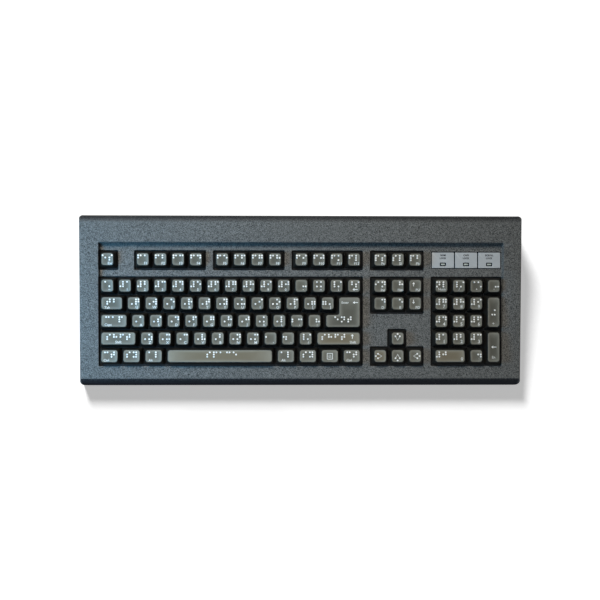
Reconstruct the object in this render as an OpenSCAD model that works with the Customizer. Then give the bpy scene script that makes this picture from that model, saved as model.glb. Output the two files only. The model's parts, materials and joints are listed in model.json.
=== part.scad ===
// Full-size braille keyboard, in millimetres: X to the right, Y to the rear, Z up, pads on z = 0.
// Keys, plates and sheets lie in the sloping frame of the key deck: x as above, v up the slope
// and w square to it, with w = 0 on the face of the deck.

/* [Case] */
// Width of the case
case_w = 481; // [471:1:500]
// Depth of the case
case_d = 184; // [182:1:200]
// Height of the top face above the table at the front edge
front_h = 17; // [17:0.5:20]
// Slope of cheeks and hood in degrees
cheek_slope = 7.8; // [7.4:0.1:8.4]
// Slope of the key deck in degrees
deck_slope = 5; // [4.6:0.1:5.4]
// Thickness of the case walls and of the deck
wall = 2.5; // [2.2:0.1:2.8]
// Radius of the case corners seen from above
corner_r = 4; // [3:0.5:5]
// Rounding of the front lip
lip_r = 9; // [7:0.5:9.5]
// Rounding of the rear edge
rear_r = 7; // [4:0.5:8]
// Height of the seam between the two case halves
seam_z = 8; // [7.5:0.1:8.4]
// From the front edge to the line where the deck starts to sink
deck_front = 19; // [18:0.5:21]
// Radius of the curved step behind the function keys
cove_r = 7; // [5:0.5:8]
// Clear strip of deck between the function keys and the hood
cove_gap = 9; // [8:0.5:11]

/* [Keys] */
// Distance between neighbouring key centres
pitch = 19.05; // [18.8:0.05:19.2]
// Gap between neighbouring key skirts
key_gap = 0.85; // [0.7:0.05:1.1]
// Travel of a key
key_travel = 3.8; // [3.2:0.1:3.9]
// Inset of a key top from its skirt at the left and right
top_inset_x = 2.4; // [2.1:0.1:2.7]
// Inset of a key top from its skirt at the front and rear
top_inset_v = 2; // [1.7:0.1:2.2]
// Set-back of the key tops towards the rear
top_back = 0.4; // [0:0.1:0.6]
// Depth of the dish in a key top
dish_d = 0.7; // [0.4:0.1:0.9]
// Wall of a keycap
cap_wall = 1.3; // [1.1:0.1:1.5]
// Gap between the key field and the edge of its opening
well_gap = 0.6; // [0.4:0.1:0.8]

/* [Braille] */
// Radius of a raised dot at its foot
dot_r = 0.85; // [0.6:0.05:0.95]
// Height of a raised dot
dot_h = 0.5; // [0.4:0.05:0.6]
// Distance between the two columns of dots of one cell
dot_pitch_x = 2.7; // [2.3:0.1:2.8]
// Distance between neighbouring dots of one column
dot_pitch_v = 2.4; // [2.3:0.1:2.6]
// Distance between neighbouring cells
cell_pitch = 7.1; // [6:0.1:7.2]
// Middle dots of a cell behind the middle of the key
label_rise = 1.9; // [1:0.1:2]

/* [Inside] */
// Thickness of the key guide plate
plate_t = 1.6; // [1.4:0.1:2]
// Room for the domes between guide plate and dome sheet
dome_room = 2.4; // [2.2:0.1:2.6]
// Thickness of the dome sheet
sheet_t = 1; // [0.8:0.1:1.2]
// Thickness of each of the three membranes
membrane_t = 0.15; // [0.1:0.05:0.2]
// Thickness of the steel back plate
back_plate_t = 0.8; // [0.6:0.1:1]
// Radius of the stabiliser wires
wire_r = 0.7; // [0.6:0.05:0.75]

/* [Tilt feet and pads] */
// Width of a tilt foot
foot_w = 40; // [30:1:46]
// Length of a tilt foot from its pin to its tip
foot_l = 23; // [18:1:25]
// From the side of the case to the middle of a tilt foot
foot_inset = 69; // [60:1:85]
// Radius of a rubber pad
pad_r = 6; // [4:0.5:7]
// Height of the case above the table
pad_h = 2; // [1.5:0.1:2.2]

/* [Hidden] */
$fn = 48;
front_y = -case_d / 2;
rear_y = case_d / 2;
deck_y = front_y + deck_front;
deck_z = front_h + deck_front * tan(cheek_slope);

// The key field is counted in key pitches from its front left corner.
field_w = 23 * pitch;
field_v = 3;
function key_x(units) = units * pitch - field_w / 2;
function key_v(units) = field_v + units * pitch;
ledge_v = key_v(6.5) + cove_gap;
pocket_w = field_w + 2 * (well_gap + 1);

// Levels below the deck face, from the key skirts down to the back plate.
cap_drop = 1.2;
plate_top = -(cap_drop + key_travel + 1);
plate_low = plate_top - plate_t;
sheet_top = plate_low - dome_room;
sheet_low = sheet_top - sheet_t;
spacer_top = sheet_low - membrane_t;
lower_top = spacer_top - membrane_t;
back_top = lower_top - membrane_t;
back_low = back_top - back_plate_t;

// Keycap, stem and the square barrel that guides it.
cap_ceiling = 5.2;
dish_land = 0.5;
stem_half = 2.7;
stem_low = plate_top - 0.5;
barrel_hole = stem_half + 0.3;
barrel_half = barrel_hole + 1.2;
barrel_top = cap_ceiling - key_travel - 0.4;
barb_out = barrel_hole + 0.7;
barb_half = 0.8;
barb_h = 2.05;
slot_half = barb_half + 0.4;
slot_top = plate_top + 3;
barb_top = slot_top - 0.15;
dome_r = 5.8;

// Stabiliser wire: a bar in clips, two arms, and tips that ride in hooks under the keycap.
arm_l = 8;
bar_v = -barrel_half - wire_r - 0.4;
bar_w = barrel_top - 2.5;
arm_angle = asin(key_travel / 2 / arm_l);
tip_v = bar_v + arm_l * (1 + cos(arm_angle)) / 2;
tip_w = bar_w + key_travel / 2;
tip_l = 3.9;
bend_r = wire_r + 0.5;
clip_bore = wire_r + 0.1;

// Screws, bosses and the parts they hold.
case_screw_r = 1.6;
case_head_r = 3;
case_boss_r = 3.5;
case_seat_z = pad_h + 3;
case_screw_top = seam_z + 5.5;
small_screw_r = 1.3;
small_head_r = 2.5;
small_boss_r = 2.6;
small_screw_l = 8.75;
small_bore_top = 1.3 - wall;
boss_root = 0.6 - wall;
bore_play = 0.05;
hole_play = 0.2;
lip_t = 1.4;
lip_h = 2;
lip_play = 0.2;
front_boss_y = front_y + wall + lip_t + 4.2;
rear_boss_y = rear_y - 12;
corner_boss_x = case_w / 2 - 24;
middle_boss_x = case_w * 0.157;
case_screws_at = concat(
    [for (i = [-1:1]) [2 * i * middle_boss_x, front_boss_y]],
    [for (x = [-corner_boss_x, -middle_boss_x, middle_boss_x, corner_boss_x]) [x, rear_boss_y]]
);
front_screw_v = field_v - well_gap - small_boss_r - 0.6;
plate_margin = 4;
plate_front = front_screw_v - small_boss_r - 0.6;
sheet_inset = 0.4;
sheet_hole_r = small_screw_r + 0.5;
plate_screws_at = concat(
    [for (u = [1, 7.5, 14, 22]) [key_x(u), front_screw_v]],
    [for (u = [1.5, 6.25, 10.75, 15.25]) [key_x(u), key_v(6)]],
    [[key_x(15.25), key_v(2.5)], [key_x(18.75), key_v(2.5)], [key_x(18.75), key_v(4.8)]]
);

// Indicator panel at the upper right, with the controller board below it.
panel_w = 4 * pitch + 0.6;
panel_d = pitch - 0.4;
panel_sink = 1.2;
panel_x = key_x(21);
panel_v = key_v(6);
plate_gap = 1.1;
indicator_w = (panel_w - 1 - 2 * plate_gap) / 3;
indicator_d = panel_d - 0.8;
indicator_t = 0.9;
window_v = panel_v - 4.5;
lens = [5.4, 2.4];
indicators_x = [for (i = [-1:1]) panel_x + i * (indicator_w + plate_gap)];
board_t = 1.6;
board_low = sheet_low;
board_top = board_low + board_t;
board_play = 1;
board_right = min(key_x(23) - 2, case_w / 2 - wall - board_play);
board = [[key_x(19) + 1, board_right], [key_v(5) + 3.6, key_v(7) + 6]];
clamp_t = 2.5;
clamp_v = key_v(5.25) + 2;
clamp_x = [panel_x - 13, panel_x + 13];
tail_half = 9;
clamp_screws_at = [for (x = clamp_x) [x, clamp_v]];
board_screws_at = [[board[0][0] + 8, key_v(6.75)], [board[0][1] - 8, key_v(6.75)]];

// Cable gland in the rear wall, captured between the two case halves.
gland_x = case_w * 0.22;
gland_w = 10;
gland_h = 9;
gland_l = 6;
gland_flange = 1;
cable_r = 2.6;

// Tilt feet and pads.
foot_x = case_w / 2 - foot_inset;
foot_pin_r = 2;
foot_t = 4.3;
foot_pin_y = rear_y - 14;
foot_pin_z = pad_h + 4;
foot_clear = 0.5;
foot_cheek = 2.5;
pocket_front = foot_pin_y - foot_l - 0.8;
pocket_rear = foot_pin_y + foot_t + 0.3;
pocket_top = foot_pin_z + 5;
front_pad_x = case_w / 2 - 39;
rear_pad_x = case_w / 2 - 114;
pads_at = [
    [-front_pad_x, front_y + 17], [front_pad_x, front_y + 17],
    [-rear_pad_x, rear_y - 17], [rear_pad_x, rear_y - 17]
];
pad_seat = 0.8;

// Rows of keys from front to rear: place, height of the key tops and their tilt.
row_at = [0.5, 1.5, 2.5, 3.5, 4.5, 6];
row_top = [8, 7.8, 7.6, 8, 8.6, 8.6];
row_tilt = [-5, -4, 0, 3, 6, 6];

// A run of equal keys in one row: name, centre in key pitches, size, top, tilt, braille label and
// the shift of that label. An arrow key has the turn of its arrow in place of a label.
function run(name, left, row, labels, units = 1, shift = 0) = [
    for (i = [0:len(labels) - 1]) [
        name, left + (i + 0.5) * units, row_at[row], units, 1, row_top[row], row_tilt[row],
        labels[i], shift * pitch
    ]
];
keys = concat(
    run("escape_key", 0, 5, ["es"]),
    run("f1_to_f4_keys", 2, 5, ["fa", "fb", "fc", "fd"]),
    run("f5_to_f8_keys", 6.5, 5, ["fe", "ff", "fg", "fh"]),
    run("f9_to_f12_keys", 11, 5, ["fi", "fj", "fk", "fl"]),
    run("print_scroll_pause_keys", 15.5, 5, ["ps", "sl", "pb"]),
    run("left_number_keys", 0, 4, ["@'", "#a", "#b", "#c", "#d", "#e"]),
    run("right_number_keys", 6, 4, ["#f", "#g", "#h", "#i", "#j", " -", ".k", "_/"]),
    run("backspace_key", 14, 4, ["^s"]),
    run("tab_key", 0, 3, ["tb"], 1.5),
    run("upper_left_letter_keys", 1.5, 3, [",q", ",w", ",e", ",r", ",t"]),
    run("upper_right_letter_keys", 6.5, 3, [",y", ",u", ",i", ",o", ",p", ",7", "7'"]),
    run("caps_lock_key", 0, 2, ["cap"], 1.75),
    run("home_left_letter_keys", 1.75, 2, [",a", ",s", ",d", ",f", ",g"]),
    run("home_right_letter_keys", 6.75, 2, [",h", ",j", ",k", ",l", "23", " 8"]),
    run("left_shift_key", 0, 1, ["shft"], 2.25),
    run("lower_left_letter_keys", 2.25, 1, [",z", ",x", ",c", ",v", ",b"]),
    run("lower_right_letter_keys", 7.25, 1, [",n", ",m", "1 ", "4 ", "_/"]),
    run("right_shift_key", 12.25, 1, ["shft"], 2.75, -0.3),
    run("left_modifier_keys", 0, 0, ["ct", "sy", "al"], 1.25),
    run("space_bar", 3.75, 0, ["space"], 6.25, 0.1),
    run("right_modifier_keys", 10, 0, ["al", "sy", "", "ct"], 1.25),
    run("navigation_keys", 15.5, 4, ["in", " h", ""]),
    run("navigation_keys", 15.5, 3, [" d", " e", ""]),
    run("up_arrow_key", 16.5, 1, [0]),
    run("left_arrow_key", 15.5, 0, [90]),
    run("down_arrow_key", 16.5, 0, [180]),
    run("right_arrow_key", 17.5, 0, [270]),
    run("number_pad_operator_keys", 19, 4, ["nl", "_/", "@*", " -"]),
    run("number_pad_digit_keys", 19, 3, ["#g", "#h", "#i"]),
    run("number_pad_digit_keys", 19, 2, ["#d", "#e", "#f"]),
    run("number_pad_digit_keys", 19, 1, ["#a", "#b", "#c"]),
    run("number_pad_digit_keys", 21, 0, [" 4"]),
    run("number_pad_zero_key", 19, 0, ["#j"], 2, -0.5),
    [["number_pad_plus_key", 22.5, 3, 1, 2, row_top[3], 0, "+", 0]],
    [["number_pad_enter_key", 22.5, 1, 1, 2, row_top[1], 0, "", 0]]
);

// The enter key is an L: a wide lower half in the home row and a narrow upper half behind it.
enter_units = 2.25;
enter_upper = 1.5;
enter_at = [15 - enter_units / 2, row_at[2]];
enter_top = row_top[2];
stems_at = concat([for (k = keys) [k[1], k[2]]], [enter_at]);

// Wide keys with a wire: name, key, centre in key pitches, half span and turn.
wires = [
    ["space_bar_wire", "space_bar", [6.875, 0.5], 48, 0],
    ["left_shift_wire", "left_shift_key", [1.125, 1.5], 11, 0],
    ["right_shift_wire", "right_shift_key", [13.625, 1.5], 14, 0],
    ["enter_wire", "enter_key", enter_at, 11, 0],
    ["number_pad_zero_wire", "number_pad_zero_key", [20, 0.5], 11, 0],
    ["number_pad_plus_wire", "number_pad_plus_key", [22.5, 3], 11, 90],
    ["number_pad_enter_wire", "number_pad_enter_key", [22.5, 1], 11, 90]
];

// Openings in the deck, in key pitches: left, right, front, rear.
wells = [
    [0, 1, 5.5, 6.5], [2, 6, 5.5, 6.5], [6.5, 10.5, 5.5, 6.5], [11, 15, 5.5, 6.5],
    [15.5, 18.5, 5.5, 6.5], [0, 15, 0, 5], [15.5, 18.5, 3, 5], [16.5, 17.5, 0.5, 2],
    [15.5, 18.5, 0, 1], [19, 23, 0, 5]
];

// Braille alphabet: each sign and the numbers of its raised dots; a space is an empty cell.
signs = "abcdefghijklmnopqrstuvwxyz#,.'@^_-+*/123478 ";
sign_dots = [
    "1", "12", "14", "145", "15", "124", "1245", "125", "24", "245", "13", "123", "134", "1345",
    "135", "1234", "12345", "1235", "234", "2345", "136", "1236", "2456", "1346", "13456", "1356",
    "3456", "6", "46", "3", "4", "45", "456", "36", "346", "16", "34", "2", "23", "25", "256",
    "2356", "236", ""
];

// Outlines and frames
function arc(cx, cy, r, from, to, steps) = [
    for (i = [0:steps])
        let (a = from + (to - from) * i / steps)
        [cx + r * cos(a), cy + r * sin(a)]
];
function rounded(x0, x1, y0, y1, r, steps) = concat(
    arc(x1 - r, y0 + r, r, -90, 0, steps),
    arc(x1 - r, y1 - r, r, 0, 90, steps),
    arc(x0 + r, y1 - r, r, 90, 180, steps),
    arc(x0 + r, y0 + r, r, 180, 270, steps)
);
function cheek_z(y) = front_h + (y - front_y) * tan(cheek_slope);
function under_cheek_z(y) = cheek_z(y) - wall / cos(cheek_slope);
function both(half) = [-half, half];
function deck_point(v, w) = [
    deck_y + v * cos(deck_slope) - w * sin(deck_slope),
    deck_z + v * sin(deck_slope) + w * cos(deck_slope)
];

module on_deck() {
    translate([0, deck_y, deck_z]) rotate([deck_slope, 0, 0]) children();
}

module along_x(width) {
    rotate([90, 0, 90]) linear_extrude(height = width, center = true) children();
}

module slab(outline, low, high) {
    translate([0, 0, low]) linear_extrude(height = high - low) polygon(outline);
}

module box(x, y, z) {
    translate([x[0], y[0], z[0]]) cube([x[1] - x[0], y[1] - y[0], z[1] - z[0]]);
}

module post(at, r, low, high) {
    translate([at[0], at[1], low]) cylinder(r = r, h = high - low);
}

module case_plan(inset, low, high) {
    half_w = case_w / 2 - inset;
    half_d = case_d / 2 - inset;
    slab(rounded(-half_w, half_w, -half_d, half_d, max(corner_r - inset, 0.5), 8), low, high);
}

// Case
function lip_arc(inset) = let(y = front_y + lip_r)
    arc(y, cheek_z(y) - lip_r / cos(cheek_slope), lip_r - inset, 180, 90 + cheek_slope, 10);

function rear_arc(inset) = let(y = rear_y - rear_r)
    arc(y, cheek_z(y) - rear_r / cos(cheek_slope), rear_r - inset, 90 + cheek_slope, 0, 10);

module case_wedge() {
    outline = concat([[front_y, seam_z]], lip_arc(0), rear_arc(0), [[rear_y, seam_z]]);
    intersection() {
        along_x(case_w) polygon(outline);
        case_plan(0, seam_z, 100);
    }
}

module case_cavity() {
    fold = wall * (1 / cos(cheek_slope) - 1 / cos(deck_slope)) / (tan(cheek_slope) - tan(deck_slope));
    fold_y = deck_y + fold;
    step = deck_point(ledge_v + wall, -wall);
    inner_front = front_y + wall;
    inner_rear = rear_y - wall;
    outline = concat(
        [[inner_front, seam_z - 1]],
        lip_arc(wall),
        [[fold_y, under_cheek_z(fold_y)], step, [step[0], under_cheek_z(step[0])]],
        rear_arc(wall),
        [[inner_rear, seam_z - 1]]
    );
    along_x(case_w - 2 * wall) polygon(outline);
}

module deck_pocket() {
    outline = concat(
        [[0, 30], [0, 0]],
        arc(ledge_v - cove_r, cove_r, cove_r, -90, 0, 10),
        [[ledge_v, 30]]
    );
    on_deck() along_x(pocket_w) polygon(outline);
}

module well(area) {
    left = key_x(area[0]) - well_gap;
    right = key_x(area[1]) + well_gap;
    front = key_v(area[2]) - well_gap;
    rear = key_v(area[3]) + well_gap;
    slab(rounded(left, right, front, rear, 1.2, 4), -wall - 1, 3);
}

module indicator_recess() {
    half_w = panel_w / 2;
    half_d = panel_d / 2;
    slab(
        rounded(panel_x - half_w, panel_x + half_w, panel_v - half_d, panel_v + half_d, 1, 4),
        -panel_sink, 1
    );
    for (x = indicators_x)
        window(x, 0.1, -wall - 1, 0);
}

module window(x, grow, low, high) {
    half_w = lens[0] / 2 + grow;
    half_d = lens[1] / 2 + grow;
    slab(rounded(x - half_w, x + half_w, window_v - half_d, window_v + half_d, 0.8, 3), low, high);
}

module gland_notch() {
    half = gland_w / 2;
    box([gland_x - half, gland_x + half], [rear_y - 9, rear_y + 1], [seam_z - 1, seam_z + gland_h]);
}

module top_case() {
    board_posts = concat(clamp_screws_at, board_screws_at);
    color("dimgray") difference() {
        union() {
            difference() {
                case_wedge();
                case_cavity();
                deck_pocket();
                on_deck() for (area = wells) well(area);
                on_deck() indicator_recess();
            }
            for (at = case_screws_at)
                post(at, case_boss_r, seam_z, under_cheek_z(at[1]) + 1);
            on_deck() for (at = plate_screws_at)
                post(at, small_boss_r, plate_top, boss_root);
            on_deck() for (at = board_posts)
                post(at, small_boss_r, board_top, boss_root);
        }
        for (at = case_screws_at)
            post(at, case_screw_r + bore_play, seam_z - 1, case_screw_top + 0.7);
        on_deck() for (at = concat(plate_screws_at, board_posts))
            post(at, small_screw_r + bore_play, board_low, small_bore_top);
        gland_notch();
    }
}

module foot_pocket(side) {
    half = foot_w / 2 + foot_clear;
    x = side * foot_x;
    box([x - half, x + half], [pocket_front, pocket_rear], [0, pocket_top]);
}

module foot_housing(side) {
    half = foot_w / 2 + foot_clear + foot_cheek;
    x = side * foot_x;
    box([x - half, x + half], [pocket_front - wall, pocket_rear + wall], [pad_h, pocket_top + wall]);
}

module foot_pin(side, r, half) {
    translate([side * foot_x, foot_pin_y, foot_pin_z])
        rotate([0, 90, 0])
            cylinder(r = r, h = 2 * half, center = true);
}

module bottom_case() {
    lip_in = wall + lip_t;
    gland_half = gland_w / 2 + gland_flange + hole_play;
    color("dimgray") difference() {
        union() {
            difference() {
                union() {
                    case_plan(0, pad_h, seam_z);
                    case_plan(wall + lip_play, seam_z - 1, seam_z + lip_h);
                }
                case_plan(lip_in, pad_h + wall, seam_z + lip_h + 1);
            }
            for (at = case_screws_at)
                post(at, case_boss_r + 1, pad_h + 1, seam_z);
            for (side = [-1, 1])
                foot_housing(side);
        }
        for (side = [-1, 1]) {
            foot_pocket(side);
            foot_pin(side, foot_pin_r + 0.06, foot_w / 2 + foot_clear + foot_cheek + 1);
        }
        for (at = case_screws_at) {
            post(at, case_head_r + hole_play, pad_h - 1, case_seat_z);
            post(at, case_screw_r + hole_play, pad_h, seam_z + 1);
        }
        for (at = pads_at)
            post(at, pad_r + hole_play, pad_h - 1, pad_h + pad_seat);
        box(
            [gland_x - gland_half, gland_x + gland_half],
            [rear_y - 9, rear_y + 1],
            [seam_z, seam_z + lip_h + 1]
        );
    }
}

module tilt_foot(side) {
    half = foot_w / 2;
    x = side * foot_x;
    low = pad_h + 0.2;
    color("black") union() {
        box([x - half, x + half], [foot_pin_y - foot_l, foot_pin_y], [low, low + foot_t]);
        foot_pin(side, foot_pin_z - low, half);
        foot_pin(side, foot_pin_r, half + foot_clear + foot_cheek - 0.4);
    }
}

module left_tilt_foot() {
    tilt_foot(-1);
}

module right_tilt_foot() {
    tilt_foot(1);
}

module rubber_pads() {
    color("black") for (at = pads_at)
        post(at, pad_r, 0, pad_h + pad_seat);
}

module case_screws() {
    color("silver") for (at = case_screws_at) {
        post(at, case_head_r, case_seat_z - 2, case_seat_z);
        post(at, case_screw_r, case_seat_z - 1, case_screw_top);
    }
}

module cable_gland() {
    half = gland_w / 2 - 0.1;
    wide = half + gland_flange;
    high = seam_z + gland_h - 0.1;
    color("black") difference() {
        union() {
            box([gland_x - half, gland_x + half], [rear_y - gland_l, rear_y], [seam_z, high]);
            box(
                [gland_x - wide, gland_x + wide],
                [rear_y - gland_l, rear_y - wall - 0.1],
                [seam_z, high + gland_flange]
            );
        }
        translate([gland_x, rear_y, seam_z + gland_h / 2])
            rotate([90, 0, 0])
                cylinder(r = cable_r, h = 4 * gland_l, center = true);
    }
}

// Key switch stack
function stack_outline(inset) =
    let (
        left = key_x(0) - plate_margin + inset,
        right = key_x(23) + plate_margin - inset,
        notch = key_x(18.5) + plate_margin - inset,
        front = plate_front + inset,
        middle = key_v(5) + 3 - inset,
        rear = key_v(6.5) + 3 - inset
    )
    [[left, front], [right, front], [right, middle], [notch, middle], [notch, rear], [left, rear]];

module sheet(low, high, inset, hole_r) {
    difference() {
        slab(stack_outline(inset), low, high);
        for (at = plate_screws_at)
            post(at, hole_r, low - 1, high + 1);
    }
}

module at_stem(at) {
    translate([key_x(at[0]), key_v(at[1]), 0]) children();
}

module wire_clips(span) {
    for (side = [-1, 1]) {
        near = side * (span - 5.5);
        far = side * (span - 2.5);
        box(
            [min(near, far), max(near, far)],
            [bar_v - wire_r, bar_v + clip_bore + 0.7],
            [plate_top - 0.5, bar_w + clip_bore + 0.7]
        );
    }
}

module key_guide_plate() {
    color("black") on_deck() difference() {
        union() {
            slab(stack_outline(0), plate_low, plate_top);
            difference() {
                slab(stack_outline(0), sheet_top, plate_top);
                slab(stack_outline(2.5), sheet_top - 1, plate_low);
            }
            for (at = stems_at)
                at_stem(at)
                    box(both(barrel_half), both(barrel_half), [plate_low, barrel_top]);
            for (at = plate_screws_at)
                post(at, 3, sheet_top, plate_top - 0.5);
            for (wire = wires)
                at_stem(wire[2]) rotate([0, 0, wire[4]]) wire_clips(wire[3]);
        }
        for (at = stems_at)
            at_stem(at) {
                box(both(barrel_hole), both(barrel_hole), [plate_low - 1, barrel_top + 1]);
                box(both(barrel_half + 1), both(slot_half), [plate_low - 1, slot_top]);
            }
        for (at = plate_screws_at)
            post(at, small_screw_r + hole_play, sheet_top - 1, plate_top + 1);
        for (wire = wires)
            at_stem(wire[2])
                rotate([0, 0, wire[4]])
                    translate([0, bar_v, bar_w])
                        rotate([0, 90, 0])
                            cylinder(r = clip_bore, h = 2 * wire[3], center = true);
    }
}

module dome() {
    nub = stem_low - 0.05 - sheet_low;
    rotate_extrude()
        polygon([
            [0, nub - 1.2], [1.6, nub - 1.2], [1.8, nub - 2], [dome_r - 0.8, 0], [dome_r, 0],
            [dome_r, sheet_t], [2.6, nub - 1.6], [2.4, nub], [0, nub]
        ]);
}

module dome_sheet() {
    color("lightgray") on_deck() union() {
        difference() {
            sheet(sheet_low, sheet_top, sheet_inset, sheet_hole_r);
            for (at = stems_at)
                at_stem(at) post([0, 0], dome_r - 0.4, sheet_low - 1, sheet_top + 1);
        }
        for (at = stems_at)
            at_stem(at) translate([0, 0, sheet_low]) dome();
    }
}

module membrane_tail(low, high) {
    box([panel_x - tail_half, panel_x + tail_half], [key_v(5) + 1, clamp_v + 3], [low, high]);
}

module upper_membrane() {
    color("honeydew") on_deck() union() {
        sheet(spacer_top, sheet_low, sheet_inset, sheet_hole_r);
        membrane_tail(spacer_top, sheet_low);
    }
}

module membrane_spacer() {
    color("white") on_deck() difference() {
        sheet(lower_top, spacer_top, sheet_inset, sheet_hole_r);
        for (at = stems_at)
            at_stem(at) post([0, 0], 2.5, lower_top - 1, spacer_top + 1);
    }
}

module lower_membrane() {
    color("honeydew") on_deck() union() {
        sheet(back_top, lower_top, sheet_inset, sheet_hole_r);
        membrane_tail(back_top, lower_top);
    }
}

module back_plate() {
    color("silver") on_deck() sheet(back_low, back_top, sheet_inset, small_screw_r + hole_play);
}

// Board and indicators
module controller_board() {
    color("seagreen") on_deck() difference() {
        box(board[0], board[1], [board_low, board_top]);
        for (at = concat(clamp_screws_at, board_screws_at))
            post(at, small_screw_r + hole_play, board_low - 1, board_top + 1);
    }
}

module controller_chip() {
    half_l = 18;
    v = key_v(7);
    color("black") on_deck()
        box([panel_x - half_l, panel_x + half_l], [v - 7, v + 4], [board_top, board_top + 3.8]);
}

module cable_header() {
    x = board[0][0] + 8;
    v = key_v(7) + 2;
    color("ivory") on_deck()
        box([x - 6, x + 6], [v - 3, v + 3], [board_top, board_top + 5]);
}

module indicator_lamps() {
    color("palegreen") on_deck() for (x = indicators_x) {
        post([x, window_v], 1.5, board_top, -wall - 1.2);
        post([x, window_v], 1.9, board_top, board_top + 1);
    }
}

module indicator_lenses() {
    color("whitesmoke") on_deck() for (x = indicators_x) {
        window(x, 0, -wall - 0.5, -0.3);
        window(x, 0.8, -wall - 0.8, -wall);
    }
}

module indicator_plates() {
    low = -panel_sink;
    half_w = indicator_w / 2;
    half_d = indicator_d / 2;
    color("lightslategray") on_deck() for (x = indicators_x)
        difference() {
            slab(
                rounded(x - half_w, x + half_w, panel_v - half_d, panel_v + half_d, 0.6, 3),
                low, low + indicator_t
            );
            window(x, 0.6, low - 1, 1);
        }
}

module membrane_clamp() {
    color("silver") on_deck() difference() {
        box(
            [clamp_x[0] - 4, clamp_x[1] + 4],
            [clamp_v - 3, clamp_v + 3],
            [back_top - clamp_t, back_top]
        );
        for (at = clamp_screws_at)
            post(at, small_screw_r + hole_play, back_top - clamp_t - 1, back_top + 1);
    }
}

module small_screw(at, seat) {
    post(at, small_head_r, seat - 1.6, seat);
    post(at, small_screw_r, seat - 1, seat + small_screw_l);
}

module small_screws() {
    color("silver") on_deck() {
        for (at = plate_screws_at)
            small_screw(at, back_low);
        for (at = clamp_screws_at)
            small_screw(at, back_top - clamp_t);
        for (at = board_screws_at)
            small_screw(at, board_low);
    }
}

// Keys
module loft(low, high) {
    n = len(low);
    sides = [
        for (i = [0:n - 1])
            let (j = (i + 1) % n)
            each [[i, n + i, n + j], [i, n + j, j]]
    ];
    ends = [for (i = [1:n - 2]) each [[0, i, i + 1], [n, n + i + 1, n + i]]];
    polyhedron(points = concat(low, high), faces = concat(sides, ends));
}

function lifted(outline, z, tilt) = [for (p = outline) [p[0], p[1], z + p[1] * tan(tilt)]];

function plain_outline(half_w, half_d, back, r, steps) =
    rounded(-half_w, half_w, back - half_d, back + half_d, r, steps);

// The L outline starts at its inner corner, from which every other corner can be seen.
function enter_outline(inset_x, inset_v, back, r, steps) =
    let (
        left = -enter_units * pitch / 2 + inset_x,
        right = enter_units * pitch / 2 - inset_x,
        inner = enter_units * pitch / 2 - enter_upper * pitch + inset_x,
        front = back - pitch / 2 + inset_v,
        step = back + pitch / 2 - inset_v,
        rear = back + 1.5 * pitch - inset_v
    )
    concat(
        [[inner, step]],
        arc(left + r, step - r, r, 90, 180, steps),
        arc(left + r, front + r, r, 180, 270, steps),
        arc(right - r, front + r, r, 270, 360, steps),
        arc(right - r, rear - r, r, 0, 90, steps),
        arc(inner + r, rear - r, r, 90, 180, steps)
    );

function dish_r(width) = (width * width / 4 + dish_d * dish_d) / (2 * dish_d);

// Height of the dished face above its rim plane, at x from the middle.
function dish_w(x, width) = dish_r(width) - dish_d - sqrt(pow(dish_r(width), 2) - x * x);

module dish(width, length) {
    intersection() {
        translate([0, 0, dish_r(width) - dish_d])
            rotate([90, 0, 0])
                cylinder(r = dish_r(width), h = length + 4, center = true, $fn = 400);
        box(both(width), both(length), both(2));
    }
}

module stem() {
    box(both(stem_half), both(stem_half), [stem_low, cap_ceiling + 0.5]);
    box(both(barb_out), both(barb_half), [barb_top - barb_h, barb_top]);
}

module dot(x, y, z) {
    sunk = 0.3;
    translate([x, y, z - sunk])
        cylinder(r1 = dot_r, r2 = dot_r * 0.6, h = dot_h + sunk, $fn = 24);
}

module braille(label, width, dished, shift, rise) {
    cells = len(label);
    start = shift - ((cells - 1) * cell_pitch + dot_pitch_x) / 2;
    for (c = [0:1:cells - 1]) {
        raised = sign_dots[search(label[c], signs)[0]];
        for (d = raised) {
            number = search(d, "123456")[0];
            x = start + c * cell_pitch + floor(number / 3) * dot_pitch_x;
            dot(x, rise + (1 - number % 3) * dot_pitch_v, dished ? dish_w(x, width) : 0);
        }
    }
}

// Three dots in a peak that points the arrow's way, turned from the rear.
module arrow_dots(turn, width) {
    for (spot = [[0, 2], [-1, 1], [1, 1]]) {
        x = dot_pitch_v * (spot[0] * cos(turn) - spot[1] * sin(turn));
        y = dot_pitch_v * (spot[0] * sin(turn) + spot[1] * cos(turn));
        dot(x, top_back + y, dish_w(x, width));
    }
}

module hooks(span) {
    for (side = [-1, 1]) {
        near = side * (span + 1.2);
        far = side * (span + 3.6);
        x = [min(near, far), max(near, far)];
        slot_v = wire_r + 0.45;
        slot_w = wire_r + 0.3;
        difference() {
            box(x, [tip_v - 2, tip_v + 2], [tip_w - slot_w - 0.9, cap_ceiling + 0.5]);
            box([x[0] - 1, x[1] + 1], [tip_v - slot_v, tip_v + slot_v], [tip_w - slot_w, tip_w + slot_w]);
        }
    }
}

module wire_hooks(name) {
    for (wire = wires)
        if (wire[1] == name)
            rotate([0, 0, wire[4]]) hooks(wire[3]);
}

// A share of the inset of the key top, for the hollow of the cap at its ceiling.
function ceiling_share(top) = (cap_ceiling + cap_drop) / (top + cap_drop);

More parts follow.
